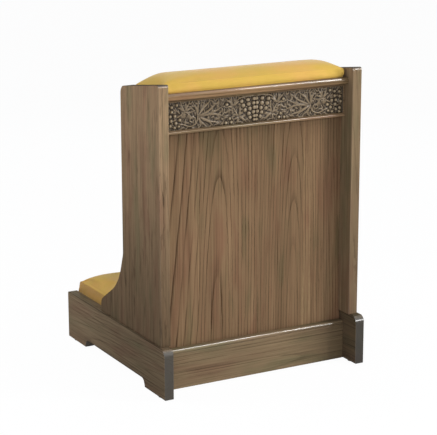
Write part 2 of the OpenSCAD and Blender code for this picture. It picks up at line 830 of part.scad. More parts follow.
// The numbers of the points round the top's rim, seen from above against the clock
function pad_rim(rows) =
    let (nu = pad_columns, nv = rows - 1)
    concat(
        [for (i = [0 : nu - 1]) i],
        [for (j = [0 : nv - 1]) j * (nu + 1) + nu],
        [for (i = [nu : -1 : 1]) nv * (nu + 1) + i],
        [for (j = [nv : -1 : 1]) j * (nu + 1)]
    );
function pad_top_faces(rows) =
    [for (j = [0 : rows - 2], i = [0 : pad_columns - 1])
        let (k = j * (pad_columns + 1) + i, over = k + pad_columns + 1)
        each [[k, over, k + 1], [k + 1, over, over + 1]]];
// Faces between two rings of point numbers, the first one outside or above the second
function ring_faces(a, b) =
    [for (k = [0 : len(a) - 1])
        let (kk = (k + 1) % len(a))
        each [[a[k], a[kk], b[k]], [a[kk], b[kk], b[k]]]];
function shifted(list, by) = [for (k = list) k + by];
function flipped(faces, by) = [for (f = faces) [f[2] + by, f[1] + by, f[0] + by]];
function same(value, vs) = [for (v = vs) value];

// A closed block of foam, its foot at zero
module foam_block(vs, half, reach, edge, crown, falls) {
    top = pad_top(vs, same(half, vs), reach, edge, crown, falls);
    rim = pad_rim(len(vs));
    m = len(rim);
    foot = [for (k = rim) [top[k][0], top[k][1], 0]];
    ring = [for (k = [0 : m - 1]) len(top) + k];
    polyhedron(concat(top, foot), concat(pad_top_faces(len(vs)), ring_faces(rim, ring), [ring]));
}

// The plywood board's outline, which the pocket repeats
function board_outline(vs, half, reach) =
    let (top = pad_top(vs, same(half, vs), reach, 0, 0, [1, 1]))
    [for (k = pad_rim(len(vs))) [top[k][0], top[k][1]]];

// The cover with its wadding: the pad's outside and the pocket for board and foam, whose
// sizes are [half width, half length, height at the edge, height at the crown]
module cover_shell(vs, halves, reach, edge, crown, falls, pocket) {
    outer = pad_top(vs, [for (h = halves) h - pad_swell], reach - pad_swell, edge, crown, falls);
    inner = pad_top(vs, same(pocket[0], vs), pocket[1], pocket[2], pocket[3], falls);
    rim = pad_rim(len(vs));
    m = len(rim);
    n = len(outer);
    half = max(halves);
    sides = [for (s = side_shares, k = rim)
        let (p = outer[k], grow = pad_swell * sin(180 * s) - pad_tuck * pow(1 - s, 3))
        [p[0] * (1 + grow / half), p[1] * (1 + grow / reach), edge * s]];
    mouth = [for (k = rim) [inner[k][0], inner[k][1], 0]];
    levels = len(side_shares);
    rings = concat([rim], [for (s = [0 : levels - 1]) [for (k = [0 : m - 1]) n + s * m + k]]);
    inner_base = n + levels * m;
    mouth_ring = [for (k = [0 : m - 1]) inner_base + n + k];
    polyhedron(
        concat(outer, sides, inner, mouth),
        concat(
            pad_top_faces(len(vs)),
            [for (s = [0 : levels - 1]) each ring_faces(rings[s], rings[s + 1])],
            ring_faces(rings[levels], mouth_ring),
            ring_faces(mouth_ring, shifted(rim, inner_base)),
            flipped(pad_top_faces(len(vs)), inner_base)
        )
    );
}

// The arm rest's pad, on the arm rest's own axes
arm_pad_half = board_half - pad_gap;
arm_pad_reach = arm_pad_depth / 2;
arm_board_half = arm_pad_half - board_inset;
arm_board_reach = arm_pad_reach - board_inset;
arm_vs = pad_vs(0, 0);
module on_arm_pad() {
    on_arm_rest() translate([0, arm_pad_setback + arm_pad_reach, 0]) children();
}
module arm_pad_board() {
    color(plywood)
        difference() {
            on_arm_pad()
                linear_extrude(arm_ply_t)
                    polygon(board_outline(arm_vs, arm_board_half, arm_board_reach));
            pad_screws_arm(play);
        }
}
module arm_pad_foam() {
    less = arm_ply_t + arm_wadding_t;
    color(foam)
        on_arm_pad()
            translate([0, 0, arm_ply_t])
                foam_block(
                    arm_vs, arm_board_half, arm_board_reach,
                    arm_pad_edge - less, arm_pad_crown - less, arm_fall_shares
                );
}
module arm_pad_cover() {
    color(cloth)
        on_arm_pad()
            translate([0, 0, pad_gap])
                cover_shell(
                    arm_vs, same(arm_pad_half, arm_vs), arm_pad_reach,
                    arm_pad_edge, arm_pad_crown, arm_fall_shares,
                    [
                        arm_board_half + pad_gap, arm_board_reach + pad_gap,
                        arm_pad_edge - arm_wadding_t, arm_pad_crown - arm_wadding_t
                    ]
                );
}

// The kneeling pad: full width between the rails, drawn in where it passes the uprights
kneel_half = half_inner - pad_gap;
kneel_waist = min(half_inner, upright_inner) - pad_gap;
kneel_reach = kneel_length / 2;
kneel_board_reach = kneel_reach - board_inset;
kneel_waist_v = (front_y + toe_reach + pad_gap - kneel_mid) / kneel_reach;
kneel_full_v = kneel_waist_v + 2 * rail_ledge / kneel_reach;
kneel_vs = pad_vs(kneel_waist_v, kneel_full_v);
kneel_halves = [for (v = kneel_vs) v > kneel_waist_v ? kneel_half : kneel_waist];
module on_kneel_board() {
    translate([0, kneel_mid, kneel_z]) children();
}
module kneeler_pad_board() {
    color(plywood)
        difference() {
            on_kneel_board()
                linear_extrude(kneel_ply_t)
                    polygon(board_outline(kneel_vs, kneel_board_half, kneel_board_reach));
            pad_screws_kneeler(-1, play);
            pad_screws_kneeler(1, play);
        }
}
module kneeler_pad_foam() {
    less = kneel_ply_t + kneel_wadding_t;
    color(foam)
        on_kneel_board()
            translate([0, 0, kneel_ply_t])
                foam_block(
                    kneel_vs, kneel_board_half, kneel_board_reach,
                    kneel_edge - less, kneel_crown - less, kneel_fall_shares
                );
}
module kneeler_pad_cover() {
    color(cloth)
        on_kneel_board()
            translate([0, 0, pad_gap])
                cover_shell(
                    kneel_vs, kneel_halves, kneel_reach, kneel_edge, kneel_crown, kneel_fall_shares,
                    [
                        kneel_board_half + pad_gap, kneel_board_reach + pad_gap,
                        kneel_edge - kneel_wadding_t, kneel_crown - kneel_wadding_t
                    ]
                );
}

// Groups of like fasteners
module upright_dowels() {
    color(plywood)
        for (side = [-1, 1]) foot_dowels(side, 0);
}
module cross_rail_dowels() {
    color(plywood)
        for (side = [-1, 1]) cross_dowels(side, 0);
}
module cleat_screws() {
    color(steel)
        for (side = [-1, 1]) cleat_screws_on(side, 0);
}
module arm_pad_screws() {
    color(steel) pad_screws_arm(0);
}
module kneeler_pad_screws() {
    color(steel)
        for (side = [-1, 1]) pad_screws_kneeler(side, 0);
}
module glides() {
    color(nylon)
        for (side = [-1, 1]) rail_glides(side, 0);
}

left_upright();
right_upright();
left_base_rail();
right_base_rail();
front_plinth_rail();
front_panel();
frieze_board();
frieze_carving();
frieze_bead();
arm_rest_board();
left_arm_cleat();
right_arm_cleat();
arm_pad_board();
arm_pad_foam();
arm_pad_cover();
book_shelf();
shelf_lip();
kneeler_front_rail();
kneeler_rear_rail();
left_kneeler_cleat();
right_kneeler_cleat();
kneeler_pad_board();
kneeler_pad_foam();
kneeler_pad_cover();
corner_blocks();
upright_dowels();
cross_rail_dowels();
cleat_screws();
arm_pad_screws();
kneeler_pad_screws();
glides();
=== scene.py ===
# Prayer kneeler in stained oak, with a carved vine frieze and two golden pads.
# Metres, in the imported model's frame: X across, Y towards the kneeling side, Z up.
import math

import bpy
import numpy as np
from mathutils import Matrix, Vector


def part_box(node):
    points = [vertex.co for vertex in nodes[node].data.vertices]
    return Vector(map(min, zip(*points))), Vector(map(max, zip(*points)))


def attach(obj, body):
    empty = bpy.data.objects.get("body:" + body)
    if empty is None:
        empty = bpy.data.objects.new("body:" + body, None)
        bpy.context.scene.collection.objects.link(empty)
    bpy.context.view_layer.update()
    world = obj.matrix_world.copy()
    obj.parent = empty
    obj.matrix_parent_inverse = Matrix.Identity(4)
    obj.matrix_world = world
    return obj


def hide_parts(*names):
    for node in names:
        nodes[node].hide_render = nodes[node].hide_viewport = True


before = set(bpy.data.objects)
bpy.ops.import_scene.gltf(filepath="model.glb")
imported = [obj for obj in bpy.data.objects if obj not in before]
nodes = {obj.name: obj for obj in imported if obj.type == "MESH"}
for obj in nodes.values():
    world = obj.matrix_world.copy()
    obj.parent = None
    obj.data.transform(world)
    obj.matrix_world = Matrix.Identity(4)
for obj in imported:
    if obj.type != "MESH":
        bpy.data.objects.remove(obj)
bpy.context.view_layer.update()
mm = 0.001
print("frame loaded,", len(nodes), "nodes")


# Colours are written as a paint chart gives them, 0 to 255
def colour(red, green, blue):
    def linear(level):
        share = level / 255
        return share / 12.92 if share <= 0.04045 else ((share + 0.055) / 1.055) ** 2.4
    return (linear(red), linear(green), linear(blue), 1.0)


# A socket in shader maths: wire * 2 + 1 makes the nodes
class Wire:
    def __init__(self, tree, socket):
        self.tree = tree
        self.socket = socket

    def math(self, operation, *others, clamp=False):
        sockets = dict(enumerate([self, *others]))
        return self.tree.node("ShaderNodeMath", {"operation": operation, "use_clamp": clamp}, sockets)

    def __add__(self, other):
        return self.math("ADD", other)

    def __sub__(self, other):
        return self.math("SUBTRACT", other)

    def __mul__(self, other):
        return self.math("MULTIPLY", other)

    def __truediv__(self, other):
        return self.math("DIVIDE", other)

    def __pow__(self, other):
        return self.math("POWER", other)

    def __rsub__(self, other):
        return self * -1 + other

    def __rtruediv__(self, other):
        return self ** -1 * other

    def __neg__(self):
        return self * -1

    __radd__ = __add__
    __rmul__ = __mul__

    def atLeast(self, floor):
        return self.math("MAXIMUM", floor)

    def atMost(self, ceiling):
        return self.math("MINIMUM", ceiling)

    # 0 below low, 1 above high, soft between; low may be the larger one
    def step(self, low, high):
        settings = {"interpolation_type": "SMOOTHSTEP"}
        return self.tree.node("ShaderNodeMapRange", settings, {0: self, 1: low, 2: high, 3: 0.0, 4: 1.0})


# A node tree with the few helpers that every finish uses
class Tree:
    def __init__(self, owner):
        owner.use_nodes = True
        self.links = owner.node_tree.links
        self.nodes = owner.node_tree.nodes

    def feed(self, socket, value):
        if isinstance(value, Wire):
            self.links.new(value.socket, socket)
        else:
            socket.default_value = value

    def node(self, kind, settings=None, sockets=None, out=0):
        made = self.nodes.new(kind)
        for key, value in (settings or {}).items():
            if key == "stops":
                ramp = made.color_ramp.elements
                while len(ramp) < len(value):
                    ramp.new(1.0)
                for element, (place, tint) in zip(ramp, value):
                    element.position, element.color = place, tint
            else:
                setattr(made, key, value)
        for key, value in (sockets or {}).items():
            self.feed(made.inputs[key], value)
        return Wire(self, made.outputs[out])

    def vector(self, x, y, z):
        return self.node("ShaderNodeCombineXYZ", None, {0: x, 1: y, 2: z})

    def split(self, wire):
        parts = self.node("ShaderNodeSeparateXYZ", None, {0: wire}).socket.node.outputs
        return [Wire(self, part) for part in parts]

    def noise(self, vector, detail=2.0, roughness=0.5, distortion=0.0):
        sockets = {
            "Vector": vector, "Scale": 1.0, "Detail": detail,
            "Roughness": roughness, "Distortion": distortion,
        }
        return self.node("ShaderNodeTexNoise", None, sockets)

    def blend(self, factor, first, second, kind="MIX"):
        settings = {"data_type": "RGBA", "blend_type": kind}
        return self.node("ShaderNodeMix", settings, {0: factor, 6: first, 7: second}, out=2)

    # spec is the strength and, in millimetres, the depth
    def bump(self, spec, height, **more):
        strength, depth = spec
        sockets = {"Strength": strength, "Distance": depth * mm, "Height": height, **more}
        return self.node("ShaderNodeBump", None, sockets)


class Finish(Tree):
    def __init__(self, name, **fixed):
        self.material = bpy.data.materials.new(name)
        super().__init__(self.material)
        self.shader = self.nodes["Principled BSDF"]
        for key, value in fixed.items():
            self.shader.inputs[key.replace("_", " ")].default_value = value

    def put(self, **sockets):
        for key, value in sockets.items():
            self.feed(self.shader.inputs[key.replace("_", " ")], value)
        return self.material

    def place(self):
        return self.split(self.node("ShaderNodeTexCoord", out="Object"))

    def facing(self):
        return self.split(self.node("ShaderNodeTexCoord", out="Normal"))


# The photograph's camera
camera = {
    "place": (-2.0971, -3.8242, 1.4985),
    "yaw": 28.967,      # degrees from +Y towards +X
    "pitch": 14.356,    # degrees down
    "roll": -0.063,
    "lens": 135.0,      # millimetres, and so is the sensor
    "sensor": 36.0,
    "farthest": 100.0,
}


def makeCamera(spec):
    yaw, pitch, roll = (math.radians(spec[key]) for key in ("yaw", "pitch", "roll"))
    ahead = Vector((math.sin(yaw) * math.cos(pitch), math.cos(yaw) * math.cos(pitch), -math.sin(pitch)))
    level = Vector((math.cos(yaw), -math.sin(yaw), 0))
    upright = level.cross(ahead)
    right = level * math.cos(roll) + upright * math.sin(roll)
    up = upright * math.cos(roll) - level * math.sin(roll)
    data = bpy.data.cameras.new("camera")
    data.sensor_width = spec["sensor"]
    data.lens = spec["lens"]
    data.clip_end = spec["farthest"]
    eye = bpy.data.objects.new("camera", data)
    eye.matrix_world = Matrix.Translation(spec["place"]) @ Matrix((right, up, -ahead)).transposed().to_4x4()
    bpy.context.scene.collection.objects.link(eye)
    bpy.context.scene.camera = eye


# Soft studio light. A level of 1 lights a white sheet that faces the lamp to white
lamps = {
    "key": {"place": (1.90, -1.90, 1.30), "aim": (0.0, -0.2, 0.45), "size": (1.0, 0.8), "level": 0.42},
    "glint": {"place": (1.26, -1.21, 2.19), "aim": (0.0, -0.25, 0.40), "size": (0.30, 0.80), "level": 0.28},
    "spark": {"place": (0.52, -1.21, 2.19), "aim": (-0.28, -0.25, 0.80), "size": (0.20, 0.40), "level": 0.06},
    "front": {"place": (-1.20, -3.20, 1.80), "aim": (0.0, -0.2, 0.40), "size": (2.2, 1.8), "level": 0.36},
    "above": {"place": (-0.90, -0.40, 2.80), "aim": (-0.1, -0.1, 0.70), "size": (1.4, 1.4), "level": 0.09},
    "back": {"place": (1.50, 2.60, 1.70), "aim": (0.0, 0.1, 0.40), "size": (1.6, 1.6), "level": 0.20},
    "left": {"place": (-1.60, 0.70, 1.50), "aim": (-0.3, 0.0, 0.60), "size": (0.9, 0.9), "level": 0.52},
}
room = {
    "ambient": (0.21, 0.245, 0.315, 1.0),     # light from all round
    "floorSide": 30.0,
    "floorColour": (0.96, 0.96, 0.96, 1.0),
    "floorGlow": 0.97,    # share of the floor that shows plain white; the rest takes the shadow
}


def makeLamp(name, spec):
    data = bpy.data.lights.new(name, "AREA")
    data.shape = "RECTANGLE"
    data.size, data.size_y = spec["size"]
    reach = Vector(spec["aim"]) - Vector(spec["place"])
    data.energy = spec["level"] * (math.pi * reach.length) ** 2
    lamp = bpy.data.objects.new(name, data)
    lamp.location = spec["place"]
    lamp.rotation_euler = reach.to_track_quat("-Z", "Y").to_euler()
    lamp.visible_camera = False
    bpy.context.scene.collection.objects.link(lamp)


def seenDirectly(tree):
    path = tree.node("ShaderNodeLightPath").socket.node.outputs
    rays = ("Camera", "Glossy", "Transmission")
    direct, glossy, clear = (Wire(tree, path[f"Is {ray} Ray"]) for ray in rays)
    return direct.math("ADD", glossy + clear, clamp=True)


def makeRoom(spec):
    world = bpy.data.worlds.new("room")
    bpy.context.scene.world = world
    tree = Tree(world)
    seen = seenDirectly(tree)
    background = tree.nodes["Background"]
    tree.feed(background.inputs["Color"], tree.blend(seen, spec["ambient"], (1, 1, 1, 1)))
    half = spec["floorSide"] / 2
    corners = [(-half, -half, 0), (half, -half, 0), (half, half, 0), (-half, half, 0)]
    mesh = bpy.data.meshes.new("floor")
    mesh.from_pydata(corners, [], [(0, 1, 2, 3)])
    floor = bpy.data.objects.new("floor", mesh)
    bpy.context.scene.collection.objects.link(floor)
    paint = Finish("floor paint")
    paint.put(Base_Color=spec["floorColour"], Roughness=1.0, Specular_IOR_Level=0.0)
    glow = paint.node("ShaderNodeEmission", None, {"Color": (1, 1, 1, 1), "Strength": 1.0})
    both = paint.node("ShaderNodeMixShader", None, {
        0: seenDirectly(paint) * spec["floorGlow"], 1: Wire(paint, paint.shader.outputs[0]), 2: glow,
    })
    paint.feed(paint.nodes["Material Output"].inputs["Surface"], both)
    mesh.materials.append(paint.material)


makeCamera(camera)
for lampName, lampSpec in lamps.items():
    makeLamp(lampName, lampSpec)
makeRoom(room)
bpy.context.scene.view_settings.view_transform = "Standard"
print("camera, lamps and room made")


# Stained oak. Rings lie round a pith that runs nearly along the grain, so that a flat-sawn face
# shows arches and an edge shows straight lines. Sizes of the figure are in millimetres
oakLook = {
    "light": (158, 130, 97),
    "dark": (54, 39, 27),
    "red": (152, 119, 90),
    "green": (142, 123, 90),
    "ray": (186, 158, 116),
    "endWithSheen": (100, 95, 87),       # end grain drinks more stain; its grey is a painted sheen of the light in front
    "endBehind": (116, 95, 73),     # where the end looks backwards: browner, without the painted sheen
    # length along the grain and pitch across it
    "wave": (240.0, 45.0),
    "ragged": (26.0, 7.0),
    "streak": (240.0, 3.2),
    "thin": (420.0, 1.3),
    "broad": (500.0, 19.0),
    "pore": (14.0, 0.55),
    "fleck": (70.0, 9.0),
    "patch": (190.0, 42.0),     # of redder and greener wood
    # how much each of them darkens the wood
    "earlyDark": 0.72,
    "streakDark": 0.85,
    "thinDark": 0.30,
    "broadDark": 0.4,
    "poreDark": 0.22,
    "allDark": 0.21,
    "early": 0.30,              # share of a ring that is early wood, open and dark
    "comes": 170.0,             # length over which a ring's early wood comes and goes
    "feather": 1.6,             # how ragged a ring's line is
    "archTop": (14.0, 0.6),     # half width and loss of an arch's faint top
    "rayFleck": (26.0, 3.4),    # length and pitch of the flecks in a ray
    "rayFade": 60.0,            # length over which a ray weakens
    "edgeShade": 0.48,          # stain gathers along the edges
    "wornAndHighlit": 1.2,                # and is lighter on those in front: partly wear, partly a painted highlight
    "softEdge": 2.0,            # radius that catches the light on a crisp edge
    "cloud": (0.2, 0.24),       # size in metres and strength of the stain's own unevenness
    "polish": 1.0,              # lacquer on the rounded edges in front
    "lacquer": 0.03,            # and everywhere else
    "rough": 0.36,
    "bump": (0.25, 0.25),
}
# What differs from board to board. grain names the axes along, across and through the board
plainBoard = {
    "grain": "zxy",
    "pith": 0.0,            # place of the pith across the board
    "depth": 60.0,          # depth of the pith under the middle of the board
    "foot": 0.0,            # where along the board pith and depth are measured
    "lean": 0.0,            # sideways lean of the pith along the board
    "rise": 0.03,           # growth of the depth along the board
    "rings": 7.5,           # spacing of the rings
    "knee": 0.0,            # radius inside which the rings lie further apart
    "heart": 7.5,           # spacing of the rings in there
    "wave": 5.0,            # how far the figure wanders
    "figure": 1.0,          # strength of the figure
    "tone": 1.0,
    "cast": (255, 255, 255),
    "paintedShadeFade": ("z", 0.0, 1.0, 1.0, 1.0),      # axis, two places in metres, and their tones: painted shade and light along the board
    "endTone": 1.0,         # tone of the end grain
    "front": 1.0,           # and painted light and shade on a face that looks forward
    "fleck": 0.0,           # short dark flecks
    "seed": 0.0,
}


def oakFinish(name, boards, joints=(), streaks=()):
    look = oakLook
    oak = Finish(name, Specular_IOR_Level=0.0, Coat_Roughness=0.075, Coat_IOR=1.62)
    axes = dict(zip("xyz", oak.place()))
    first = {**plainBoard, **boards[0]}
    along, across, through = (axes[letter] / mm for letter in first["grain"])

    # glued up boards lie side by side across the panel, each with figure of its own
    masks = [across.step(edge - 0.1, edge + 0.1) for edge in joints]

    def chosen(key):
        values = [{**plainBoard, **board}[key] for board in boards]
        if len(set(values)) == 1:
            return values[0]
        total = values[0]
        for mask, before, after in zip(masks, values, values[1:]):
            total = mask * (after - before) + total
        return total

    def figure(layer, **kind):
        length, pitch = look[layer]
        return oak.noise(oak.vector(along / length, across / pitch + seed, through / pitch), **kind)

    seed = chosen("seed")
    slow = figure("wave", detail=3.0, roughness=0.55)
    ragged = figure("ragged", detail=2.0, roughness=0.6)
    wander = (slow - 0.5) * chosen("wave") * 2 + (ragged - 0.5) * look["feather"] * 2
    rise = along - chosen("foot")
    sideways = across - chosen("pith") - rise * chosen("lean") + wander
    below = through + chosen("depth") + rise * chosen("rise") + wander * 0.3
    radius = (sideways * sideways + below * below) ** 0.5
    knee = chosen("knee")
    count = (radius - knee).atLeast(0) / chosen("rings") - (knee - radius).atLeast(0) / chosen("heart")
    phase = count.math("FRACT")

    # early wood starts sharply at each ring and fades
    early = (1 - phase / look["early"]).atLeast(0) * phase.step(0.0, 0.05)
    comes = oak.noise(oak.vector(along / look["comes"], count * 0.9 + seed, 0.0), detail=1.0)
    early = early * (comes.step(0.30, 0.62) * 0.85 + 0.15)
    archHalf, archLoss = look["archTop"]
    flank = (sideways.math("ABSOLUTE") / archHalf).atMost(1) * archLoss + (1 - archLoss)

    streak = figure("streak", detail=4.0, roughness=0.65) - 0.5
    thin = figure("thin", detail=1.0).step(0.54, 0.70)
    broad = figure("broad", detail=2.0) - 0.5
    pore = figure("pore", detail=2.0).step(0.56, 0.68) * (early * 0.7 + 0.3)
    darkness = early * flank * look["earlyDark"] * chosen("figure") + streak * look["streakDark"]
    darkness = darkness + thin * look["thinDark"] + broad * look["broadDark"] + look["allDark"]
    if first["fleck"]:
        darkness = darkness + figure("fleck", detail=3.0).step(0.54, 0.72) * first["fleck"]
    darkness = darkness.math("ADD", pore * look["poreDark"], clamp=True)

    patch = figure("patch", detail=2.0)
    light = oak.blend(patch.step(0.50, 0.72), colour(*look["light"]), colour(*look["red"]))
    light = oak.blend(patch.step(0.48, 0.28), light, colour(*look["green"]))
    wood = oak.blend(darkness, light, colour(*look["dark"]))

    # bright medullary rays where the board is sawn on the quarter
    length, pitch = look["rayFleck"]
    for streakAt, halfWidth, strength, strongTo in streaks:
        band = (across + wander * 0.3 - streakAt).math("ABSOLUTE").step(halfWidth, halfWidth * 0.1)
        slanting = (along + across * 2) / length
        flecks = oak.noise(oak.vector(slanting, across / pitch, through / pitch), detail=2.0)
        fall = along.step(strongTo + look["rayFade"], strongTo) * 0.5 + 0.5
        ray = band * (flecks.step(0.38, 0.68) * 0.55 + 0.45) * fall * strength
        wood = oak.blend(ray, wood, colour(*look["ray"]))

    # end grain, with a painted grey sheen where it faces forward
    facing = dict(zip("xyz", oak.facing()))
    endGrain = facing[first["grain"][0]].math("ABSOLUTE").step(0.55, 0.85)
    endTintAndSheen = colour(*(part * first["endTone"] for part in look["endWithSheen"]))
    endTintAndSheen = oak.blend(facing["y"].step(0.25, 0.6), endTintAndSheen, colour(*look["endBehind"]))
    wood = oak.blend(endGrain * (0.88 - darkness * 0.4), wood, endTintAndSheen)

    # edges: a bevelled normal that looks along no axis marks them
    soft = oak.node("ShaderNodeBevel", {"samples": 6}, {"Radius": look["softEdge"] * mm})
    tips = oak.split(soft)
    turned = [part.math("ABSOLUTE") for part in tips]
    edge = (1 - turned[0].atLeast(turned[1]).atLeast(turned[2])).step(0.01, 0.12)
    # edges that look forward are painted lighter: partly wear, partly a painted highlight
    wear = edge * (-tips[1]).step(0.25, 0.55)
    shade = 1 - (edge - wear) * (1 - look["edgeShade"]) + wear * (look["wornAndHighlit"] - 1)

    # the stain's own unevenness, the board's tone, and painted shade and light along one axis
    cloudSize, cloudStrength = look["cloud"]
    cloud = oak.noise(oak.vector(*(axes[letter] / cloudSize for letter in "xyz")), detail=1.0)
    fadeAxis, fadeFrom, fadeTo, toneFrom, toneTo = first["paintedShadeFade"]
    level = axes[fadeAxis].step(fadeFrom, fadeTo) * (toneTo - toneFrom) + toneFrom
    shade = shade * level * (cloud * cloudStrength + (1 - cloudStrength / 2)) * chosen("tone")
    # painted light and shade on the faces that look forward
    if first["front"] != 1:
        shade = shade * ((-facing["y"]).step(0.6, 0.8) * (first["front"] - 1) + 1)
    wood = oak.blend(1.0, wood, oak.vector(shade, shade, shade), "MULTIPLY")
    wood = oak.blend(1.0, wood, colour(*first["cast"]), "MULTIPLY")

    return oak.put(
        Base_Color=wood,
        Roughness=pore * 0.2 + darkness * 0.08 + look["rough"],
        Normal=oak.bump(look["bump"], darkness * -0.5 - pore, Normal=soft),
        Coat_Weight=wear * tips[2].step(-0.1, 0.2) * look["polish"] + look["lacquer"],
    )


panel = {
    "boards": [
        # the first board darkens towards its top: a painted shadow under the frieze
        {"pith": -330.0, "depth": 30.0, "lean": 0.05, "rings": 11.0, "wave": 9.0, "seed": 3.0, "tone": 0.77,
         "cast": (255, 249, 248), "paintedShadeFade": ("z", 0.56, 0.68, 1.0, 0.78)},
        {"pith": -108.0, "depth": 225.35, "foot": 130.0, "lean": 0.019, "rise": 0.0748, "rings": 9.5,
         "knee": 36.0, "heart": 20.0, "wave": 3.0, "seed": 11.0, "tone": 0.75},
        {"pith": 124.0, "depth": 225.0, "foot": 130.0, "lean": 0.008, "rise": 0.065, "rings": 8.0,
         "knee": 34.0, "heart": 8.0, "wave": 3.0, "seed": 23.0, "figure": 0.8, "tone": 0.67},
        {"pith": 420.0, "depth": 40.0, "rings": 6.5, "wave": 2.5, "seed": 31.0, "figure": 0.7, "tone": 0.72},
    ],
    "joints": (-160.0, 15.0, 160.0),
    # place across the panel, half width, strength, and the height up to which it is strong
    "streaks": ((158.0, 4.5, 0.62, 230.0), (178.0, 4.5, 0.5, 240.0), (167.0, 2.5, 0.3, 200.0)),
}
oakBoards = {
    # darker towards the foot, partly painted shade and partly stain; its forward face is painted lighter
    "left_upright": {
        "grain": "zyx", "pith": -420.0, "depth": 330.0, "foot": 150.0, "rise": 0.04, "rings": 8.0,
        "wave": 12.0, "figure": 0.45, "fleck": 0.26, "seed": 5.0, "tone": 1.08, "front": 1.04,
        "endTone": 0.62, "cast": (247, 248, 253), "paintedShadeFade": ("z", 0.10, 0.76, 0.46, 1.0),
    },
    # painted shade: darker and cooler than the left upright, its forward face darker still
    "right_upright": {
        "grain": "zyx", "pith": -60.0, "depth": -260.0, "foot": 150.0, "rise": 0.10, "rings": 7.0,
        "figure": 0.4, "seed": 17.0, "tone": 0.94, "front": 0.88, "endTone": 0.62,
        "cast": (244, 250, 255), "paintedShadeFade": ("z", 0.10, 0.75, 0.84, 1.0),
    },
    # its forward face is painted lighter; it also grows lighter towards the back, with a cooler cast
    "left_base_rail": {
        "grain": "yzx", "pith": 60.0, "depth": 310.0, "foot": -300.0, "lean": -0.06, "rise": 0.05,
        "rings": 9.0, "figure": 0.6, "seed": 7.0, "tone": 0.66, "front": 1.04,
        "cast": (236, 245, 254), "paintedShadeFade": ("y", -0.22, 0.28, 0.90, 1.30),
    },
    # painted shade: darker and cooler than the left rail
    "right_base_rail": {
        "grain": "yzx", "pith": 90.0, "depth": -330.0, "rings": 8.0, "figure": 0.5, "seed": 9.0,
        "tone": 0.465, "cast": (236, 245, 255),
    },
    # darker and cooler towards the right: a painted shadow of the right rail
    "front_plinth_rail": {
        "grain": "xzy", "pith": 20.0, "depth": 262.0, "foot": -278.0, "lean": 0.02, "rise": 0.03,
        "rings": 9.0, "figure": 0.45, "seed": 13.0, "tone": 0.88,
        "cast": (242, 250, 255), "paintedShadeFade": ("x", 0.06, 0.25, 1.0, 0.58),
    },
    "frieze_board": {
        "grain": "xzy", "pith": 500.0, "depth": 300.0, "rings": 6.0, "seed": 19.0, "tone": 0.62,
    },
    "frieze_bead": {
        "grain": "xzy", "pith": 600.0, "depth": 280.0, "rings": 6.0, "figure": 0.5, "seed": 21.0,
        "tone": 0.85,
    },
    # lighter on the left, darker towards the right: painted shade from the right upright
    "arm_rest_board": {
        "grain": "xyz", "pith": -150.0, "depth": -700.0, "rings": 6.0, "figure": 0.5, "seed": 27.0,
        "tone": 0.88, "cast": (255, 248, 240), "paintedShadeFade": ("x", -0.05, 0.26, 1.12, 0.70),
    },
    "book_shelf": {"grain": "xyz", "pith": -120.0, "depth": -560.0, "rings": 8.0, "seed": 33.0},
    "shelf_lip": {"grain": "xzy", "pith": 560.0, "depth": 90.0, "rings": 6.0, "seed": 35.0},
    "kneeler_front_rail": {
        "grain": "xzy", "pith": 40.0, "depth": 30.0, "rings": 8.0, "seed": 37.0, "tone": 0.85,
    },
    "kneeler_rear_rail": {
        "grain": "xzy", "pith": 70.0, "depth": -265.0, "rings": 8.0, "seed": 39.0, "tone": 0.85,
    },
    "left_kneeler_cleat": {"grain": "yxz", "pith": -300.0, "depth": -60.0, "seed": 41.0},
    "right_kneeler_cleat": {"grain": "yxz", "pith": 310.0, "depth": -60.0, "seed": 43.0},
    "left_arm_cleat": {"grain": "yxz", "pith": -300.0, "depth": -700.0, "seed": 45.0},
    "right_arm_cleat": {"grain": "yxz", "pith": 310.0, "depth": -700.0, "seed": 47.0},
    "corner_blocks": {"pith": 40.0, "depth": 400.0, "seed": 49.0},
}


def dress(node, material):
    held = nodes[node].data.materials
    held.clear()
    held.append(material)


dress("front_panel", oakFinish("oak front panel", panel["boards"], panel["joints"], panel["streaks"]))
for node, board in oakBoards.items():
    dress(node, oakFinish("oak " + node.replace("_", " "), [board]))
print("oak boards dressed")


# Bare plywood, beech, zinc-plated steel, nylon and foam, which mostly lie inside. Colours run
# from the plain one to the one in its marks; grain is the fineness of the marks along x, y, z
plyLook = {
    "colours": ((214, 184, 142), (186, 150, 106)), "glue": (140, 104, 70), "glueShare": 0.45,
    "layer": 1.5, "grain": (12, 160, 160), "bump": (0.2, 0.2),
}
beechLook = {"colours": ((206, 168, 124), (170, 128, 88)), "grain": (300, 900, 300), "bump": (0.2, 0.1)}
steelLook = {
    "colours": ((196, 196, 190), (168, 160, 140)), "grain": (90, 90, 90), "scratches": (2500, 2500, 400),
    "rough": 0.28, "bump": (0.15, 0.05),
}
nylonLook = {
    "colours": ((62, 54, 48), (92, 84, 76)), "grain": (120, 120, 120), "grit": (1500, 1500, 1500),
    "rough": 0.45, "bump": (0.2, 0.05),
}
foamLook = {"colours": ((206, 192, 150), (236, 226, 190)), "grain": (700, 700, 700), "bump": (0.5, 0.4)}


def marks(finish, fineness, detail):
    scaled = (axis * fine for axis, fine in zip(finish.place(), fineness))
    return finish.noise(finish.vector(*scaled), detail=detail)


def twoColours(finish, factor, look):
    plain, marked = look["colours"]
    return finish.blend(factor, colour(*plain), colour(*marked))


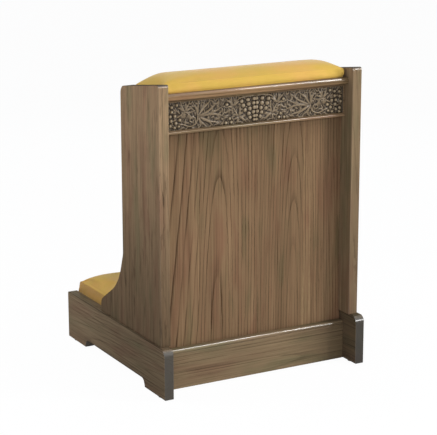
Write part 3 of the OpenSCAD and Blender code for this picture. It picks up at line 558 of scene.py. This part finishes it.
def plyFinish(name, tilt):
    look = plyLook
    ply = Finish(name, Roughness=0.6)
    _, y, z = ply.place()
    layers = (z * math.cos(tilt) + y * math.sin(tilt)) / (look["layer"] * mm)
    glued = layers.math("FRACT").step(0.45, 0.55) * look["glueShare"]
    face = marks(ply, look["grain"], 4.0)
    wood = ply.blend(glued, twoColours(ply, face, look), colour(*look["glue"]))
    return ply.put(Base_Color=wood, Normal=ply.bump(look["bump"], face))


def beechFinish(name):
    look = beechLook
    beech = Finish(name, Roughness=0.55)
    fleck = marks(beech, look["grain"], 3.0)
    wood = twoColours(beech, fleck.step(0.4, 0.7), look)
    return beech.put(Base_Color=wood, Normal=beech.bump(look["bump"], fleck))


def steelFinish(name):
    look = steelLook
    steel = Finish(name, Metallic=1.0)
    scratch = marks(steel, look["scratches"], 3.0)
    tint = twoColours(steel, marks(steel, look["grain"], 2.0).step(0.45, 0.75), look)
    rough = scratch * 0.2 + look["rough"]
    return steel.put(Base_Color=tint, Roughness=rough, Normal=steel.bump(look["bump"], scratch))


def nylonFinish(name):
    look = nylonLook
    nylon = Finish(name)
    wear = marks(nylon, look["grain"], 3.0)
    grit = marks(nylon, look["grit"], 2.0)
    tint = twoColours(nylon, wear.step(0.4, 0.8), look)
    rough = wear * 0.2 + look["rough"]
    return nylon.put(Base_Color=tint, Roughness=rough, Normal=nylon.bump(look["bump"], grit))


def foamFinish(name):
    look = foamLook
    foam = Finish(name, Roughness=0.95)
    cells = marks(foam, look["grain"], 2.0)
    tint = twoColours(foam, cells.step(0.35, 0.6), look)
    return foam.put(Base_Color=tint, Normal=foam.bump(look["bump"], cells))


slope = math.radians(8.5)     # of the arm rest, down towards the kneeling side
dress("arm_pad_board", plyFinish("plywood of the arm rest", slope))
dress("kneeler_pad_board", plyFinish("plywood of the kneeling board", 0.0))
for node in ("upright_dowels", "cross_rail_dowels"):
    dress(node, beechFinish("beech " + node.replace("_", " ")))
for node in ("cleat_screws", "arm_pad_screws", "kneeler_pad_screws"):
    dress(node, steelFinish("zinc on " + node.replace("_", " ")))
foam = foamFinish("foam")
for node in ("arm_pad_foam", "kneeler_pad_foam"):
    dress(node, foam)
dress("glides", nylonFinish("nylon"))
print("inner pieces dressed")


# Small steady noise for mesh work: a few crossed waves, mostly between -1 and 1
def ripple(u, v, pitch, seed):
    draw = np.random.default_rng(seed)
    total = np.zeros(np.broadcast(u, v).shape)
    waves = 7
    for turn, start, stretch in draw.uniform(0, 1, (waves, 3)):
        angle = turn * math.tau
        wave = (u * math.cos(angle) + v * math.sin(angle)) / (pitch * (0.6 + stretch))
        total += np.sin(wave * math.tau + start * math.tau)
    return total / (waves / 2)


def makePiece(name, points, faces):
    mesh = bpy.data.meshes.new(name)
    mesh.from_pydata([tuple(p) for p in points], [], faces)
    mesh.validate()
    mesh.shade_smooth()
    piece = bpy.data.objects.new(name, mesh)
    bpy.context.scene.collection.objects.link(piece)
    return piece


# The carving: a vine on a thin ground, its two halves mirrored. Places are shares of the sunk
# field, out from its middle and up from its foot; radii, lengths and half widths are shares of
# its height. Angles are in degrees, 0 outwards and 90 up
carving = {
    "cell": 0.75,           # millimetres from point to point
    "ground": 1.5,
    "rough": (0.7, 0.4),    # height of the punched ground's small and broad bumps
    "wobble": (0.5, 40.0),  # how far the hand strays from the pattern, over what distance
    "leaflets": {           # they fill the ground: millimetres, height as a share of the relief
        "spacing": 9.0, "halfWidth": 3.3, "height": 0.70, "length": (10, 19), "vein": 0.3, "seed": 12,
    },
    "vein": 1.1,            # depth of the groove along each lobe
    "stemHalf": 0.030,
    "stemHeight": 0.74,
    "grapeFoot": 0.25,      # a grape rises from here, as a share of the relief
    "grapeTop": 0.98,
    "gap": (0.8, 0.8),      # width and floor of the dark gap round a grape
    "blur": 26,             # how wide the surroundings are that hollow and crest are judged by
    "hollow": 1.8,          # this far under its surroundings a place is all hollow
    "crest": 2.2,           # and this far over them all crest
    "grapes": [             # out, up, radius
        (0.012, 0.86, 0.08), (0.08, 0.84, 0.085), (0.15, 0.80, 0.085),
        (0.02, 0.70, 0.08), (0.075, 0.67, 0.09), (0.135, 0.64, 0.09),
        (0.012, 0.54, 0.08), (0.062, 0.50, 0.085), (0.118, 0.47, 0.085),
        (0.02, 0.38, 0.08), (0.07, 0.33, 0.085), (0.012, 0.23, 0.075), (0.058, 0.19, 0.08),
        (0.013, 0.09, 0.065),
        (0.325, 0.07, 0.07), (0.265, 0.08, 0.07), (0.285, 0.22, 0.065), (0.315, 0.73, 0.07),
        (0.875, 0.50, 0.07), (0.825, 0.36, 0.07), (0.865, 0.25, 0.07), (0.915, 0.34, 0.07),
        (0.98, 0.43, 0.07), (0.97, 0.20, 0.07), (0.925, 0.16, 0.065), (0.88, 0.09, 0.06),
        (0.925, 0.50, 0.065), (0.97, 0.62, 0.065), (0.91, 0.66, 0.065), (0.965, 0.80, 0.065),
        (0.91, 0.83, 0.065), (0.855, 0.88, 0.065), (0.965, 0.07, 0.06), (0.835, 0.13, 0.06),
    ],
    "leaves": [             # root, then the angle, length and half width of each lobe
        ((0.63, 0.41), [
            (165, 1.02, 0.075), (183, 1.02, 0.075), (198, 0.88, 0.07), (211, 0.71, 0.07),
            (227, 0.55, 0.065), (250, 0.38, 0.065), (150, 0.96, 0.07), (135, 0.76, 0.07),
            (117, 0.63, 0.07), (96, 0.56, 0.075), (70, 0.56, 0.07),
        ]),
        ((0.765, 0.61), [
            (120, 0.38, 0.065), (93, 0.38, 0.065), (64, 0.38, 0.065), (32, 0.33, 0.06),
            (155, 0.30, 0.06), (185, 0.26, 0.055), (320, 0.27, 0.055), (283, 0.26, 0.055),
        ]),
        ((0.187, 0.27), [
            (215, 0.38, 0.07), (180, 0.30, 0.065), (142, 0.30, 0.06), (100, 0.34, 0.065),
            (60, 0.28, 0.06), (22, 0.26, 0.06), (332, 0.22, 0.055), (275, 0.26, 0.06),
        ]),
        ((0.247, 0.64), [
            (150, 0.41, 0.06), (115, 0.36, 0.06), (80, 0.36, 0.06), (45, 0.41, 0.06), (12, 0.34, 0.055),
        ]),
    ],
    "stems": [
        [(0.195, 0.30), (0.222, 0.46), (0.24, 0.58)],
        [(0.63, 0.41), (0.648, 0.19), (0.70, 0.09), (0.75, 0.12), (0.80, 0.19), (0.87, 0.17)],
        [(0.655, 0.17), (0.66, 0.37), (0.70, 0.41), (0.716, 0.29), (0.69, 0.24)],
        [(0.70, 0.41), (0.765, 0.61), (0.825, 0.50), (0.88, 0.42)],
        [(0, 0.95), (0.08, 0.97), (0.17, 0.92), (0.23, 0.72)],
    ],
}


def curvePoints(corners, count):
    # a smooth line through the corners
    corners = np.array(corners, float)
    ends = np.vstack([2 * corners[0] - corners[1], corners, 2 * corners[-1] - corners[-2]])
    spans = len(corners) - 1
    points = []
    for share in np.linspace(0, spans - 1e-6, count):
        k, t = int(share), share - int(share)
        a, b, c, d = ends[k:k + 4]
        bend, twist = 2 * a - 5 * b + 4 * c - d, 3 * b - 3 * c + d - a
        points.append(0.5 * (2 * b + (c - a) * t + bend * t ** 2 + twist * t ** 3))
    return np.array(points)


def nearestOn(line, out, up, margin):
    # distance to the line and share along it, for the points of the grid near it
    low, high = line.min(0) - margin, line.max(0) + margin
    near = (out > low[0]) & (out < high[0]) & (up > low[1]) & (up < high[1])
    points = np.stack([out[near], up[near]], 1)
    best, share = np.full(len(points), 1e9), np.zeros(len(points))
    for k in range(len(line) - 1):
        leg = line[k + 1] - line[k]
        t = np.clip((points - line[k]) @ leg / max(leg @ leg, 1e-9), 0, 1)
        gap = np.hypot(*(points - line[k] - t[:, None] * leg).T)
        closer = gap < best
        best[closer] = gap[closer]
        share[closer] = (k + t[closer]) / (len(line) - 1)
    return near, best, share


# One leaf's lobe: a ridge that bends a little, with a vein along it and side veins
lobeForm = {
    "start": 0.06,          # from the leaf's root, as a share of the lobe
    "bend": 0.07,           # sideways, as a share of the lobe
    "cells": 28,
    "notches": 0.13,        # depth of the uneven edge, as a share of the half width
    "veinHalf": 0.8,
    "sideVeins": (0.35, 3.4),       # depth and spacing
}


def addLobe(height, out, up, start, ahead, halfWidth, crest, number, vein):
    form = lobeForm
    length = np.hypot(*ahead)
    side = np.array([-ahead[1], ahead[0]]) * form["bend"] * (-1) ** number
    bow = [start + ahead * form["start"], start + ahead * 0.5 + side, start + ahead]
    line = curvePoints(bow, form["cells"])
    near, gap, share = nearestOn(line, out, up, halfWidth + 1)
    edge = 1 + form["notches"] * np.sin(share * (9 + length / 5) + number)
    width = halfWidth * edge * np.clip(np.sin(math.pi * (0.16 + 0.80 * share)), 0.05, 1) ** 0.7
    body = np.clip(1 - (gap / width) ** 1.5, 0, 1)
    ridge = crest * (0.66 + 0.34 * np.sin(math.pi * np.clip(share + 0.05, 0, 1)))
    veinHalf, (depth, spacing) = form["veinHalf"], form["sideVeins"]
    groove = vein * np.exp(-(gap / veinHalf) ** 2) * np.clip((0.9 - share) * 8, 0, 1)
    veins = depth * np.sin((share * length - gap * 1.2) / spacing * math.tau)
    veins *= np.clip(gap - veinHalf, 0, 1)
    height[near] = np.maximum(height[near], np.where(body > 0, ridge * body - groove + veins, 0))


def carvedHeight(out, up, spec, half, tall, top):
    def place(shares):
        return np.array([shares[0] * half, shares[1] * tall])

    def heading(angle, length):
        turn = math.radians(angle)
        return np.array([math.cos(turn), math.sin(turn)]) * length

    small, large = spec["rough"]
    height = spec["ground"] + small * ripple(out, up, 4.6, 3) + large * ripple(out, up, 11.0, 9)

    leaflet = spec["leaflets"]
    pitch, (shortest, longest) = leaflet["spacing"], leaflet["length"]
    draw = np.random.default_rng(leaflet["seed"])
    for column in range(int(half / pitch)):
        for row in range(int(tall / pitch)):
            shiftOut, shiftUp, turn, size = draw.uniform(0, 1, 4)
            start = np.array([(column + shiftOut) * pitch, (row + shiftUp) * pitch])
            ahead = heading(turn * 360, shortest + (longest - shortest) * size)
            crest = top * leaflet["height"]
            addLobe(height, out, up, start, ahead, leaflet["halfWidth"], crest, row, leaflet["vein"])

    halfWidth = spec["stemHalf"] * tall
    for corners in spec["stems"]:
        line = curvePoints([place(corner) for corner in corners], 40)
        near, gap, _ = nearestOn(line, out, up, halfWidth + 1)
        bar = spec["stemHeight"] * top * np.sqrt(np.clip(1 - (gap / halfWidth) ** 2, 0, 1))
        height[near] = np.maximum(height[near], bar)

    lobes = [(root, *lobe) for root, group in spec["leaves"] for lobe in group]
    for number, (root, angle, length, halfShare) in enumerate(lobes):
        crest = top * (0.82 + 0.05 * (number % 4))      # neighbours lie at different heights
        ahead = heading(angle, length * tall)
        addLobe(height, out, up, place(root), ahead, halfShare * tall, crest, number, spec["vein"])

    gapWidth, gapFloor = spec["gap"]
    low, rise = spec["grapeFoot"] * top, (spec["grapeTop"] - spec["grapeFoot"]) * top
    for *where, radiusShare in spec["grapes"]:
        atOut, atUp = place(where)
        radius = radiusShare * tall
        gap = np.hypot(out - atOut, up - atUp)
        ball = np.clip(1 - (gap / radius) ** 2, 0, 1)
        ball = np.where(ball > 0, low + rise * np.sqrt(ball), 0)
        height = np.where(gap < radius + gapWidth, np.maximum(ball, np.minimum(height, gapFloor)), height)
    return np.clip(height, 0.2, top)


def softened(values):
    padded = np.pad(values, 1, mode="edge")
    rows = padded[:-2] * 0.25 + padded[1:-1] * 0.5 + padded[2:] * 0.25
    return rows[:, :-2] * 0.25 + rows[:, 1:-1] * 0.5 + rows[:, 2:] * 0.25


# The carving's stain: dark in the hollows, as stain and as painted shade; rubbed and polished on the crests
carvedLook = {
    "stops": ((0.0, (41, 33, 24)), (0.35, (93, 77, 56)), (0.7, (127, 108, 80)), (1.0, (149, 130, 97))),
    "raised": 0.34,         # how much each of these rubs it; the hollows' darkening is stain and painted shade
    "crest": 0.36,
    "hollow": -0.75,
    "grain": 0.4,
    "all": 0.30,
    "polish": 0.85,
    "rough": 0.5,
    "grainMarks": (25, 300, 300),
    "poreMarks": (120, 1700, 1700),
    "bump": (0.2, 0.2),
}


def carvingFinish():
    look = carvedLook
    wood = Finish("carved oak", Coat_Roughness=0.16, Specular_IOR_Level=0.2)
    raised, hollow, crest = (
        wood.node("ShaderNodeAttribute", {"attribute_name": key}, out="Fac")
        for key in ("raised", "hollow", "crest")
    )
    grain = marks(wood, look["grainMarks"], 4.0)
    pores = marks(wood, look["poreMarks"], 2.0)
    # painted shade and stain darken the hollows
    rubbedAndShaded = raised ** 2 * look["raised"] + crest * look["crest"] + hollow * look["hollow"]
    rubbedAndShaded = (rubbedAndShaded + (grain - 0.5) * look["grain"]).math("ADD", look["all"], clamp=True)
    stops = [(place, colour(*tint)) for place, tint in look["stops"]]
    return wood.put(
        Base_Color=wood.node("ShaderNodeValToRGB", {"stops": stops}, {0: rubbedAndShaded}),
        Roughness=look["rough"] - rubbedAndShaded * 0.14,
        Coat_Weight=rubbedAndShaded * look["polish"],
        Normal=wood.bump(look["bump"], grain + pores * 0.5),
    )


def gridFaces(number):
    # four-sided faces of a grid of point numbers
    corners = number[:-1, :-1], number[:-1, 1:], number[1:, 1:], number[1:, :-1]
    return list(zip(*(corner.ravel().tolist() for corner in corners)))


def rimOf(number):
    return np.concatenate([number[0, :], number[1:, -1], number[-1, -2::-1], number[-2:0:-1, 0]])


def makeCarving(spec):
    low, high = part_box("frieze_carving")
    columns, rows = (int(side / (spec["cell"] * mm)) for side in (high.x - low.x, high.z - low.z))
    xs, zs = np.meshgrid(np.linspace(low.x, high.x, columns), np.linspace(low.z, high.z, rows))
    stray, over = spec["wobble"]
    out = np.abs(xs / mm) + stray * ripple(xs / mm, zs / mm, over, 5)
    up = (zs - low.z) / mm + stray * ripple(xs / mm, zs / mm, over, 8)
    top = (high.y - low.y) / mm
    height = softened(carvedHeight(out, up, spec, high.x / mm, (high.z - low.z) / mm, top))
    around = height
    for _ in range(spec["blur"]):
        around = softened(around)
    marked = {
        "raised": np.clip(height / top, 0, 1),
        "hollow": np.clip((around - height) / spec["hollow"], 0, 1),
        "crest": np.clip((height - around) / spec["crest"], 0, 1),
    }
    front = np.stack([xs, high.y - height * mm, zs], -1).reshape(-1, 3)
    number = np.arange(rows * columns).reshape(rows, columns)
    rim = rimOf(number)
    back = front[rim]
    back[:, 1] = high.y
    faces = gridFaces(number)
    base, count = len(front), len(rim)
    for k in range(count):
        after = (k + 1) % count
        faces.append((int(rim[after]), int(rim[k]), base + k, base + after))
    faces.append(tuple(base + k for k in range(count)))
    piece = makePiece("frieze_carving_relief", np.vstack([front, back]), faces)
    for key, values in marked.items():
        held = piece.data.attributes.new(key, "FLOAT", "POINT")
        held.data.foreach_set("value", np.concatenate([values.ravel(), np.zeros(count)]).astype(np.float32))
    piece.data.materials.append(carvingFinish())
    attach(piece, "root")
    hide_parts("frieze_carving")


makeCarving(carving)
print("frieze carved")


# The pads. A pad is a crowned cushion whose sides draw in between the corners. It starts a little
# small, swells under the cloth solver, and then gets its tucks
clothLook = {
    "light": (204, 168, 77),
    "deep": (192, 150, 64),     # between the threads
    "warm": (212, 166, 86),     # in patches
    "side": (160, 112, 55),     # the ends, where the cloth is stretched and shaded
    "thread": 0.9,              # millimetres from thread to thread
    "depth": 0.45,              # how much the weave shows in the colour
    "slub": 0.5,                # and its thicker threads
    "slubGrain": (0.04, 0.9, 8),
    "mottle": (9, 14, 14),
    "rough": 0.82,
    "bump": (0.35, 0.15),
}
# swell is how far a point may move, in millimetres; falls say how squarely the crown drops at the
# ends and along the sides; corner draws the corners in; side is how much the ends take its colour
pads = {
    "arm_pad_cover": {
        "tilt": slope, "crown": 26.0, "falls": (16.0, 2.3), "cells": (72, 26), "sides": 5, "swell": 4.0,
        "fill": 0.8, "corner": 1.0, "waist": False, "side": 0.0,
    },
    "kneeler_pad_cover": {
        "tilt": 0.0, "crown": 28.0, "falls": (11.0, 4.5), "cells": (72, 42), "sides": 6, "swell": 5.0,
        "fill": 0.8, "corner": 0.0, "waist": True, "side": 0.6,
    },
}
# What the two share, in millimetres
padForm = {
    "less": 1.6,            # how much smaller it starts
    "pinch": 1.2,           # how far a side draws in between its corners
    "crowding": 0.82,       # how much closer the points lie towards the edges
    "bulge": 2.0,           # of the wall
    "tuck": 2.0,            # of the wall's foot
    "seam": 0.85,           # crispness of the sewn edges
    "walls": (6.0, 5.2),    # thinnest wall at the ends and along the sides, over the foam
    "folds": (1.2, 1.6, 16.0),      # depth, half width and reach of the folds at the corners
    "scallops": (0.45, 27.0),       # depth and spacing of the pulls between staples
    "dents": (0.35, 95.0),          # and of the crown's unevenness
    "waistGap": 0.4,        # between the pad and the uprights that it passes between
    "waistLength": 12.0,
}
clothSolver = {
    "frames": 16, "pressure": 3.0, "quality": 6, "mass": 0.3, "stretch": 25, "shear": 12, "bend": 1.5,
}


def clothFinish(name, tilt, side):
    look = clothLook
    cloth = Finish(name, Sheen_Weight=0.25, Sheen_Roughness=0.4, Specular_IOR_Level=0.2)
    x, y, z = cloth.place()
    down = z * math.cos(tilt) + y * math.sin(tilt)
    level = y * math.cos(tilt) - z * math.sin(tilt)
    atEnd = cloth.facing()[0].math("ABSOLUTE").step(0.6, 0.8)
    pitch = look["thread"] * mm
    warp = (x * (1 - atEnd) + level * atEnd) / pitch
    weft = (level * (1 - atEnd) + down) / pitch
    over = (warp * math.pi).math("SINE") * (weft * math.pi).math("SINE")
    threads = (warp * math.tau).math("SINE") * 0.5 + (weft * math.tau).math("SINE") * 0.5
    alongThread, acrossThread, overall = look["slubGrain"]
    slub = cloth.noise(cloth.vector(warp * alongThread, weft * acrossThread, down * overall), detail=2.0)
    mottle = marks(cloth, look["mottle"], 3.0)
    weave = (over * 0.25 + slub * look["slub"]).math("ADD", 0.0, clamp=True) * look["depth"]
    tint = cloth.blend(mottle.step(0.42, 0.68), colour(*look["light"]), colour(*look["warm"]))
    tint = cloth.blend(weave, tint, colour(*look["deep"]))
    tint = cloth.blend(atEnd * side, tint, colour(*look["side"]))
    return cloth.put(
        Base_Color=tint, Roughness=slub * 0.1 + look["rough"],
        Normal=cloth.bump(look["bump"], over + threads * 0.3 + slub * 0.6),
    )


def padPoints(spec, half, reach, edge):
    span = math.pi / 2 * padForm["crowding"]
    us, vs = (np.sin(np.linspace(-1, 1, cells + 1) * span) / math.sin(span) for cells in spec["cells"])
    u, v = np.meshgrid(us, vs)
    pull = (np.abs(u * v) ** 8) * spec["corner"]
    px = u * (half - padForm["pinch"] * (1 - v ** 2)) - np.sign(u) * pull
    py = v * (reach - padForm["pinch"] * (1 - u ** 2)) - np.sign(v) * pull
    fallU, fallV = spec["falls"]
    pz = edge + spec["crown"] * (1 - np.abs(u) ** fallU) * (1 - np.abs(v) ** fallV)
    return px, py, pz


def padMesh(name, spec, half, reach, edge):
    px, py, pz = padPoints(spec, half, reach, edge)
    rows, columns = px.shape
    number = np.arange(rows * columns).reshape(rows, columns)
    rim = rimOf(number)
    points = [np.stack([px, py, pz], -1).reshape(-1, 3)]
    faces = gridFaces(number)
    topFaces, count = len(faces), len(rim)
    ring, base = rim, rows * columns
    for k in range(1, spec["sides"] + 1):
        share = 1 - k / spec["sides"]
        side = points[0][rim].copy()
        grow = padForm["bulge"] * math.sin(math.pi * share) - padForm["tuck"] * (1 - share) ** 3
        side[:, 0] *= 1 + grow / half
        side[:, 1] *= 1 + grow / reach
        side[:, 2] = edge * share
        points.append(side)
        fresh = base + np.arange(count)
        for j in range(count):
            after = (j + 1) % count
            faces.append((int(ring[after]), int(ring[j]), int(fresh[j]), int(fresh[after])))
        ring = fresh
        base += count
    # the underside is the same grid, laid flat
    inner = number[1:-1, 1:-1].ravel()
    flat = points[0][inner]
    flat[:, :2] *= 1 - padForm["tuck"] / reach
    flat[:, 2] = 0
    points.append(flat)
    under = {int(k): base + i for i, k in enumerate(inner)}
    under.update((int(k), int(ring[i])) for i, k in enumerate(rim))
    faces += [tuple(under[k] for k in reversed(face)) for face in faces[:topFaces]]
    piece = makePiece(name, np.vstack(points), faces)
    # sewn edges stay crisp: round the top, and down the four corners
    corners = np.array([0, columns - 1, columns + rows - 2, 2 * columns + rows - 3])
    rings = [rows * columns + k * count + corners for k in range(spec["sides"])]
    down = np.concatenate([rim[corners], *rings])
    ends = np.zeros(len(piece.data.edges) * 2, int)
    piece.data.edges.foreach_get("vertices", ends)
    sewn = sum(np.isin(ends.reshape(-1, 2), line).all(1) for line in (rim, down)) > 0
    crease = piece.data.attributes.new("crease_edge", "FLOAT", "EDGE")
    crease.data.foreach_set("value", (sewn * padForm["seam"]).astype(np.float32))
    return piece


def readPoints(mesh):
    flat = np.zeros(len(mesh.vertices) * 3)
    mesh.vertices.foreach_get("co", flat)
    return flat.reshape(-1, 3)


def swell(piece, limit, pinned):
    before = readPoints(piece.data)
    group = piece.vertex_groups.new(name="stapled")
    group.add([int(k) for k in np.flatnonzero(pinned)], 1.0, "REPLACE")
    cloth = piece.modifiers.new("Cloth", "CLOTH")
    settings, solver = cloth.settings, clothSolver
    settings.quality = solver["quality"]
    settings.mass = solver["mass"]
    settings.tension_stiffness = settings.compression_stiffness = solver["stretch"]
    settings.shear_stiffness = solver["shear"]
    settings.bending_stiffness = solver["bend"]
    settings.use_pressure = True
    settings.uniform_pressure_force = solver["pressure"]
    settings.vertex_group_mass = "stapled"
    settings.effector_weights.gravity = 0
    for step in range(1, solver["frames"] + 1):
        bpy.context.scene.frame_set(step)
    shaped = piece.evaluated_get(bpy.context.evaluated_depsgraph_get())
    after = readPoints(shaped.data)
    moved = after - before
    far = np.linalg.norm(moved, axis=1, keepdims=True)
    moved *= np.minimum(1, limit / np.maximum(far, 1e-9))
    piece.modifiers.remove(cloth)
    piece.vertex_groups.remove(group)
    bpy.context.scene.frame_set(1)
    piece.data.vertices.foreach_set("co", (before + moved).ravel())
    piece.data.update()
    return far.max()


def rounded(piece, levels):
    # smooths by subdivision, for good
    modifier = piece.modifiers.new("Subdivision", "SUBSURF")
    modifier.levels = modifier.render_levels = levels
    shaped = piece.evaluated_get(bpy.context.evaluated_depsgraph_get())
    mesh = bpy.data.meshes.new_from_object(shaped)
    piece.modifiers.clear()
    piece.data = mesh
    mesh.shade_smooth()


def finishPad(points, half, reach, edge, crownTop):
    # tucks along the foot, where the cloth is pulled under, and folds at the corners
    x, y, z = points.T
    shareX, shareY = np.abs(x) / half, np.abs(y) / reach
    outside = np.maximum(shareX, shareY) > 0.9
    atEnd = shareX > shareY
    alongRim = np.where(atEnd, y, x)
    scallopDepth, scallopPitch = padForm["scallops"]
    dentDepth, dentPitch = padForm["dents"]
    low = np.clip(1 - z / edge, 0, 1) ** 1.5
    scallop = scallopDepth * np.cos(alongRim / scallopPitch * math.tau)
    scallop = scallop + 0.35 * ripple(alongRim, z, 60.0, 4)
    pullIn = np.where(outside, low * (0.6 + scallop), 0)
    foldDepth, foldHalf, foldReach = padForm["folds"]
    cornerGap = np.hypot(np.abs(x) - (half - 9), np.abs(y) - (reach - 9))
    offDiagonal = np.abs(np.abs(x) - half + 2) - np.abs(np.abs(y) - reach + 2)
    fold = foldDepth * np.exp(-(offDiagonal / foldHalf) ** 2) * np.clip(1 - cornerGap / foldReach, 0, 1)
    fold *= np.clip(z / edge, 0, 1) ** 0.3 * (z < edge * 1.15)
    shift = pullIn + fold
    points[:, 0] -= np.sign(x) * shift * (shareX > 0.9)
    points[:, 1] -= np.sign(y) * shift * (shareY > 0.9)
    points[:, 2] += np.where(z > edge * 0.6, dentDepth * ripple(x, y, dentPitch, 6), 0)
    # over the foam the walls keep their least thickness
    endWall, sideWall = padForm["walls"]
    wall = outside & (z < edge * 1.04)
    atEnd = np.abs(x) / half > np.abs(y) / reach
    points[:, 0] = np.where(wall & atEnd, np.sign(x) * np.maximum(np.abs(x), half - endWall), x)
    points[:, 1] = np.where(wall & ~atEnd, np.sign(y) * np.maximum(np.abs(y), reach - sideWall), y)
    np.clip(points, (-half, -reach, 0), (half, reach, crownTop + 1.0), out=points)


def makePad(node, spec):
    solid = readPoints(nodes[node].data)
    cosine, sine = math.cos(spec["tilt"]), math.sin(spec["tilt"])
    level = solid[:, 1] * cosine - solid[:, 2] * sine
    rise = solid[:, 1] * sine + solid[:, 2] * cosine
    half = np.abs(solid[:, 0]).max() / mm
    reach = (level.max() - level.min()) / 2 / mm
    middle, foot = (level.max() + level.min()) / 2, rise.min()
    crownTop = (rise.max() - foot) / mm
    edge = crownTop - spec["crown"]
    less = padForm["less"]
    piece = padMesh(node.replace("cover", "cushion"), spec, half - less, reach - less, edge - less * 0.5)
    points = readPoints(piece.data)
    pinned = points[:, 2] < 0.01
    piece.data.vertices.foreach_set("co", (points * mm).ravel())
    piece.data.update()
    far = swell(piece, spec["swell"] * mm, pinned)
    print(f"{node} swelled by up to {far / mm:.1f} mm before the cap")
    rounded(piece, 1)
    points = readPoints(piece.data) / mm
    finishPad(points, half, reach, edge, crownTop)
    x, y, z = points.T * mm
    y, z = y + middle, z + foot
    placed = np.stack([x, y * cosine + z * sine, z * cosine - y * sine], 1)
    if spec["waist"]:
        # drawn in where it passes between the uprights
        low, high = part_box("right_upright")
        gap = padForm["waistGap"] * mm
        inner, rear = low.x - gap, high.y + gap
        past = np.clip((placed[:, 1] - rear) / (padForm["waistLength"] * mm), 0, 1)
        widest = inner + (half * mm - inner) * past ** 2
        placed[:, 0] = np.clip(placed[:, 0], -widest, widest)
    piece.data.vertices.foreach_set("co", placed.ravel())
    piece.data.update()
    cloth = clothFinish("golden cloth on " + node.replace("_", " "), spec["tilt"], spec["side"])
    piece.data.materials.append(cloth)
    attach(piece, "root")
    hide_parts(node)


for node, spec in pads.items():
    makePad(node, spec)
print("pads upholstered")
